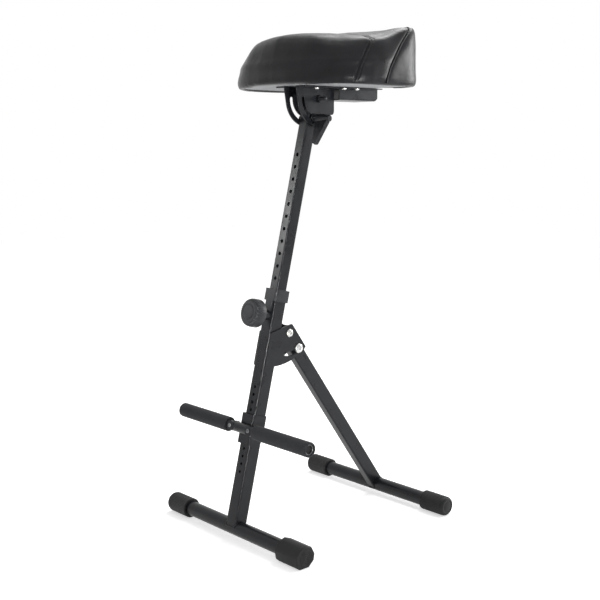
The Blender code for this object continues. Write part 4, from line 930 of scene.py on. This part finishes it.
def cutLoops(piece):
    # the loops make each seam's groove crisp
    bm = bmesh.new()
    bm.from_mesh(piece.data)
    for key, steps in seamLoops.items():
        lean(bm, seat[key], -1)
        for step in steps:
            cutAcross(bm, seat[key]["y"] + step * 0.001)
        lean(bm, seat[key], 1)
    bm.to_mesh(piece.data)
    bm.free()


def bell(distance, width):
    return math.exp(-(distance / width) ** 2)


def sewSeams(piece):
    mesh = piece.data
    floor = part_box("seat_cushion")[0].z
    frontReach, rearReach = seat["puckerReach"]
    normals = [vertex.normal.copy() for vertex in mesh.vertices]
    for vertex, normal in zip(mesh.vertices, normals):
        hold = clamped((vertex.co.z - floor - seat["sewnFrom"]) / seat["sewnFade"])
        if hold == 0.0:
            continue
        a = fromSeam(seat["frontSeam"], vertex.co)
        b = fromSeam(seat["rearSeam"], vertex.co)
        move = -seat["creaseDepth"] * bell(a, seat["creaseWidth"])
        move -= seat["rowDepth"] * bell(a - seat["rowGap"], seat["rowWidth"])
        move -= seat["rearDepth"] * bell(b, seat["rearWidth"])
        # the foam swells beside each seam and the cover puckers there
        for d in (-a, a - seat["rowGap"], abs(b) - seat["rearWidth"]):
            if d > 0:
                move += seat["puff"] * (d / seat["puffWidth"]) * math.exp(1 - d / seat["puffWidth"])
        # soft ridge round the sides, where the firm lower foam meets the softer top
        ahead = clamped(-b / seat["ridgeFade"])
        side = math.hypot(normal.x, normal.y) ** 2
        move += seat["ridgeRise"] * ahead * side * bell(vertex.co.z - seat["ridge"], seat["ridgeHalf"])
        near = math.exp(-abs(a) / frontReach) + seat["puckerRear"] * math.exp(-abs(b) / rearReach)
        across = Vector([c * grain for c, grain in zip(vertex.co, seat["puckerGrain"])])
        move += seat["pucker"] * near * noise.noise(across)
        broad = noise.noise(vertex.co * seat["rumpleGrain"]) * seat["rumple"]
        small = vertex.co * seat["crumpleGrain"] + Vector(seat["crumpleShift"])
        broad += noise.noise(small) * seat["crumple"]
        vertex.co += normal * (move + broad) * hold


def seamPath(piece, seam, offset):
    # the line on the cushion at this distance behind the seam, as one closed loop
    bm = bmesh.new()
    bm.from_mesh(piece.data)
    lean(bm, seam, -1)
    cut = cutAcross(bm, seam["y"] + offset)
    lean(bm, seam, 1)
    bm.normal_update()
    edges = [part for part in cut if isinstance(part, bmesh.types.BMEdge)]
    nextTo = {}
    for edge in edges:
        a, b = edge.verts
        nextTo.setdefault(a, []).append(b)
        nextTo.setdefault(b, []).append(a)
    best = []
    seen = set()
    for start in list(nextTo):
        if start in seen:
            continue
        path = [start]
        seen.add(start)
        while True:
            ahead = [v for v in nextTo[path[-1]] if v not in seen]
            if not ahead:
                break
            path.append(ahead[0])
            seen.add(ahead[0])
        if len(path) > len(best):
            best = path
    result = [(v.co.copy(), v.normal.copy()) for v in best]
    bm.free()
    return result


def openPath(loop, floor):
    # keeps the part above the underside, from one lower edge over the top to the other
    count = len(loop)
    above = [co.z > floor for co, n in loop]
    starts = [i for i in range(count) if above[i] and not above[i - 1]]
    if not starts:
        return loop
    runs = []
    for start in starts:
        run = []
        i = start
        while above[i % count] and len(run) < count:
            run.append(loop[i % count])
            i += 1
        runs.append(run)
    return max(runs, key=len)


# stitches along the front seam and piping in the rear one

trim = {
    "above": 0.003, "stitch": 0.0042, "stitchGap": 0.0014, "stitchPoint": 0.0014, "rowShare": 1.15,
    "threadRadius": 0.00045, "threadEnd": 0.45, "threadLift": 0.0001, "threadSides": 6,
    "pipe": 0.0017, "pipeRise": 0.0014, "pipePoint": 0.0025, "pipeSides": 12,
}


def seatTrim(piece):
    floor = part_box("seat_cushion")[0].z + trim["above"]
    bm = bmesh.new()
    path = openPath(seamPath(piece, seat["frontSeam"], seat["rowGap"] * trim["rowShare"]), floor)
    line = evenly([co + n * trim["threadLift"] for co, n in path], trim["stitchPoint"])
    step = round((trim["stitch"] + trim["stitchGap"]) / trim["stitchPoint"])
    radii = [trim["threadRadius"]] * step
    radii[0] = radii[-1] = trim["threadRadius"] * trim["threadEnd"]
    starts = range(0, len(line) - step, step)
    for start in starts:
        part = line[start:start + step]
        rings = tubeRings(part, lambda i: radii[i], trim["threadSides"])
        loft(bm, [[part[0]]] + rings + [[part[-1]]])
    stitching = newPiece("seatStitching", meshOf(bm), yarn, "seat", slot="leatherette", smooth=60)
    path = openPath(seamPath(piece, seat["rearSeam"], 0.0), floor)
    line = evenly([co + n * trim["pipeRise"] for co, n in path], trim["pipePoint"])
    rings = tubeRings(line, lambda i: trim["pipe"], trim["pipeSides"])
    mesh = lofted([[line[0]]] + rings + [[line[-1]]])
    piping = newPiece("seatPiping", mesh, hide, "seat", slot="leatherette", smooth=60)
    print("seat trim,", len(starts), "stitches")
    return stitching, piping


def ease(value, low, high):
    t = clamped((value - low) / (high - low))
    return t * t * (3 - 2 * t)


def settle(mesh):
    # the foam has sat down in the middle of the rear half, its edges and corners stand as they were
    for vertex in mesh.vertices:
        x, y, z = vertex.co
        depth = seat["settle"] * (1 - ease(abs(x), *seat["settleAcross"]))
        vertex.co.z -= depth * ease(y, *seat["settleAlong"]) * ease(z, *seat["settleAbove"])


def seatCushion():
    piece = cushionBlank()
    inflate(piece)
    finer = piece.modifiers.new("finer", "SUBSURF")
    finer.levels = 1
    finer.render_levels = 1
    baked(piece)
    cutLoops(piece)
    sewSeams(piece)
    piece.data.shade_smooth()
    print("cushion,", len(piece.data.polygons), "faces")
    for part in (piece, *seatTrim(piece)):
        settle(part.data)


frameParts()
caps()
heightKnob()
fasteners()
footrestPegs()
welds()
seatCushion()


# studio: pale floor, soft boxes, camera at the photograph's viewing angle

studio = {
    "floor": "#f2f2f2", "floorRough": 0.9, "floorShine": 0.1, "floorGlow": 0.55, "floorSize": 6.0,
    "floorBelow": 0.0002, "world": 0.50,
}
lamps = {
    "gridLeft": {"place": (-1.41, -1.22, 1.08), "aim": (0.0, -0.04, 0.62), "size": (0.35, 0.35),
                 "watts": 0.06, "spread": 11},
    "gridFront": {"place": (1.95, -1.85, 0.60), "aim": (0.0, -0.08, 0.42), "size": (0.12, 0.6),
                  "watts": 0.7, "spread": 14},
    "gridSide": {"place": (2.25, -0.55, 0.45), "aim": (0.12, 0.0, 0.92), "size": (1.5, 0.2),
                 "watts": 1.5, "spread": 14},
    "softboxBack": {"place": (0.95, 2.4, 1.1), "aim": (0.0, 0.1, 0.8), "size": (1.2, 0.8),
                    "watts": 30, "spread": 170},
    "overhead": {"place": (-0.3, 1.2, 2.7), "aim": (0.0, 0.0, 0.5), "size": (1.8, 1.8),
                 "watts": 45, "spread": 170},
}
eye = {"lens": 61.18, "sensor": 36.0, "nearest": 0.05, "place": (1.521, -1.40179, 0.77275), "down": 8.70,
       "round": 47.87}


def pane(name, place, aim, size, watts, spread):
    lamp = bpy.data.lights.new(name, "AREA")
    lamp.shape = "RECTANGLE"
    lamp.size, lamp.size_y = size
    lamp.energy = watts
    lamp.spread = math.radians(spread)
    light = bpy.data.objects.new(name, lamp)
    light.location = place
    light.rotation_euler = (Vector(aim) - Vector(place)).to_track_quat("-Z", "Y").to_euler()
    bpy.context.scene.collection.objects.link(light)


def backdropRays(tree):
    # 1 for the rays that show the backdrop, 0 for those that only light the stool
    path = addNode(tree, "ShaderNodeLightPath")
    total = path.outputs["Is Camera Ray"]
    for ray in ("Is Glossy Ray", "Is Transmission Ray"):
        both = addNode(tree, "ShaderNodeMath", None, {0: total, 1: path.outputs[ray]},
                       operation="ADD", use_clamp=True)
        total = both.outputs["Value"]
    return total


def studioFloor():
    bm = bmesh.new()
    bmesh.ops.create_grid(bm, x_segments=8, y_segments=8, size=studio["floorSize"])
    floor = bpy.data.objects.new("floor", meshOf(bm, "floor"))
    bpy.context.scene.collection.objects.link(floor)
    floor.location.z = -studio["floorBelow"]
    material, tree, shader = startMaterial("painted studio floor")
    shader.inputs["Base Color"].default_value = hexColour(studio["floor"])
    shader.inputs["Roughness"].default_value = studio["floorRough"]
    shader.inputs["Specular IOR Level"].default_value = studio["floorShine"]
    glow = addNode(tree, "ShaderNodeMath", {1: studio["floorGlow"]}, {0: backdropRays(tree)},
                   operation="MULTIPLY")
    shader.inputs["Emission Color"].default_value = hexColour("#ffffff")
    tree.links.new(glow.outputs["Value"], shader.inputs["Emission Strength"])
    floor.data.materials.append(material)


def studioWorld():
    world = bpy.data.worlds.new("studio")
    bpy.context.scene.world = world
    world.use_nodes = True
    tree = world.node_tree
    tree.nodes.clear()
    white = hexColour("#ffffff")
    soft = addNode(tree, "ShaderNodeBackground", {"Color": white, "Strength": studio["world"]})
    backdrop = addNode(tree, "ShaderNodeBackground", {"Color": white, "Strength": 1.0})
    mix = addNode(tree, "ShaderNodeMixShader", None, {0: backdropRays(tree), 1: soft.outputs["Background"],
                                                      2: backdrop.outputs["Background"]})
    addNode(tree, "ShaderNodeOutputWorld", None, {"Surface": mix.outputs["Shader"]})


def camera():
    lens = bpy.data.cameras.new("camera")
    lens.lens = eye["lens"]
    lens.sensor_width = eye["sensor"]
    lens.clip_start = eye["nearest"]
    view = bpy.data.objects.new("camera", lens)
    view.location = eye["place"]
    view.rotation_euler = (math.radians(90 - eye["down"]), 0.0, math.radians(eye["round"]))
    bpy.context.scene.collection.objects.link(view)
    bpy.context.scene.camera = view


studioFloor()
studioWorld()
for name, lamp in lamps.items():
    pane(name, **lamp)
camera()
bpy.context.scene.view_settings.view_transform = "Standard"
print("studio,", len(lamps), "lamps")
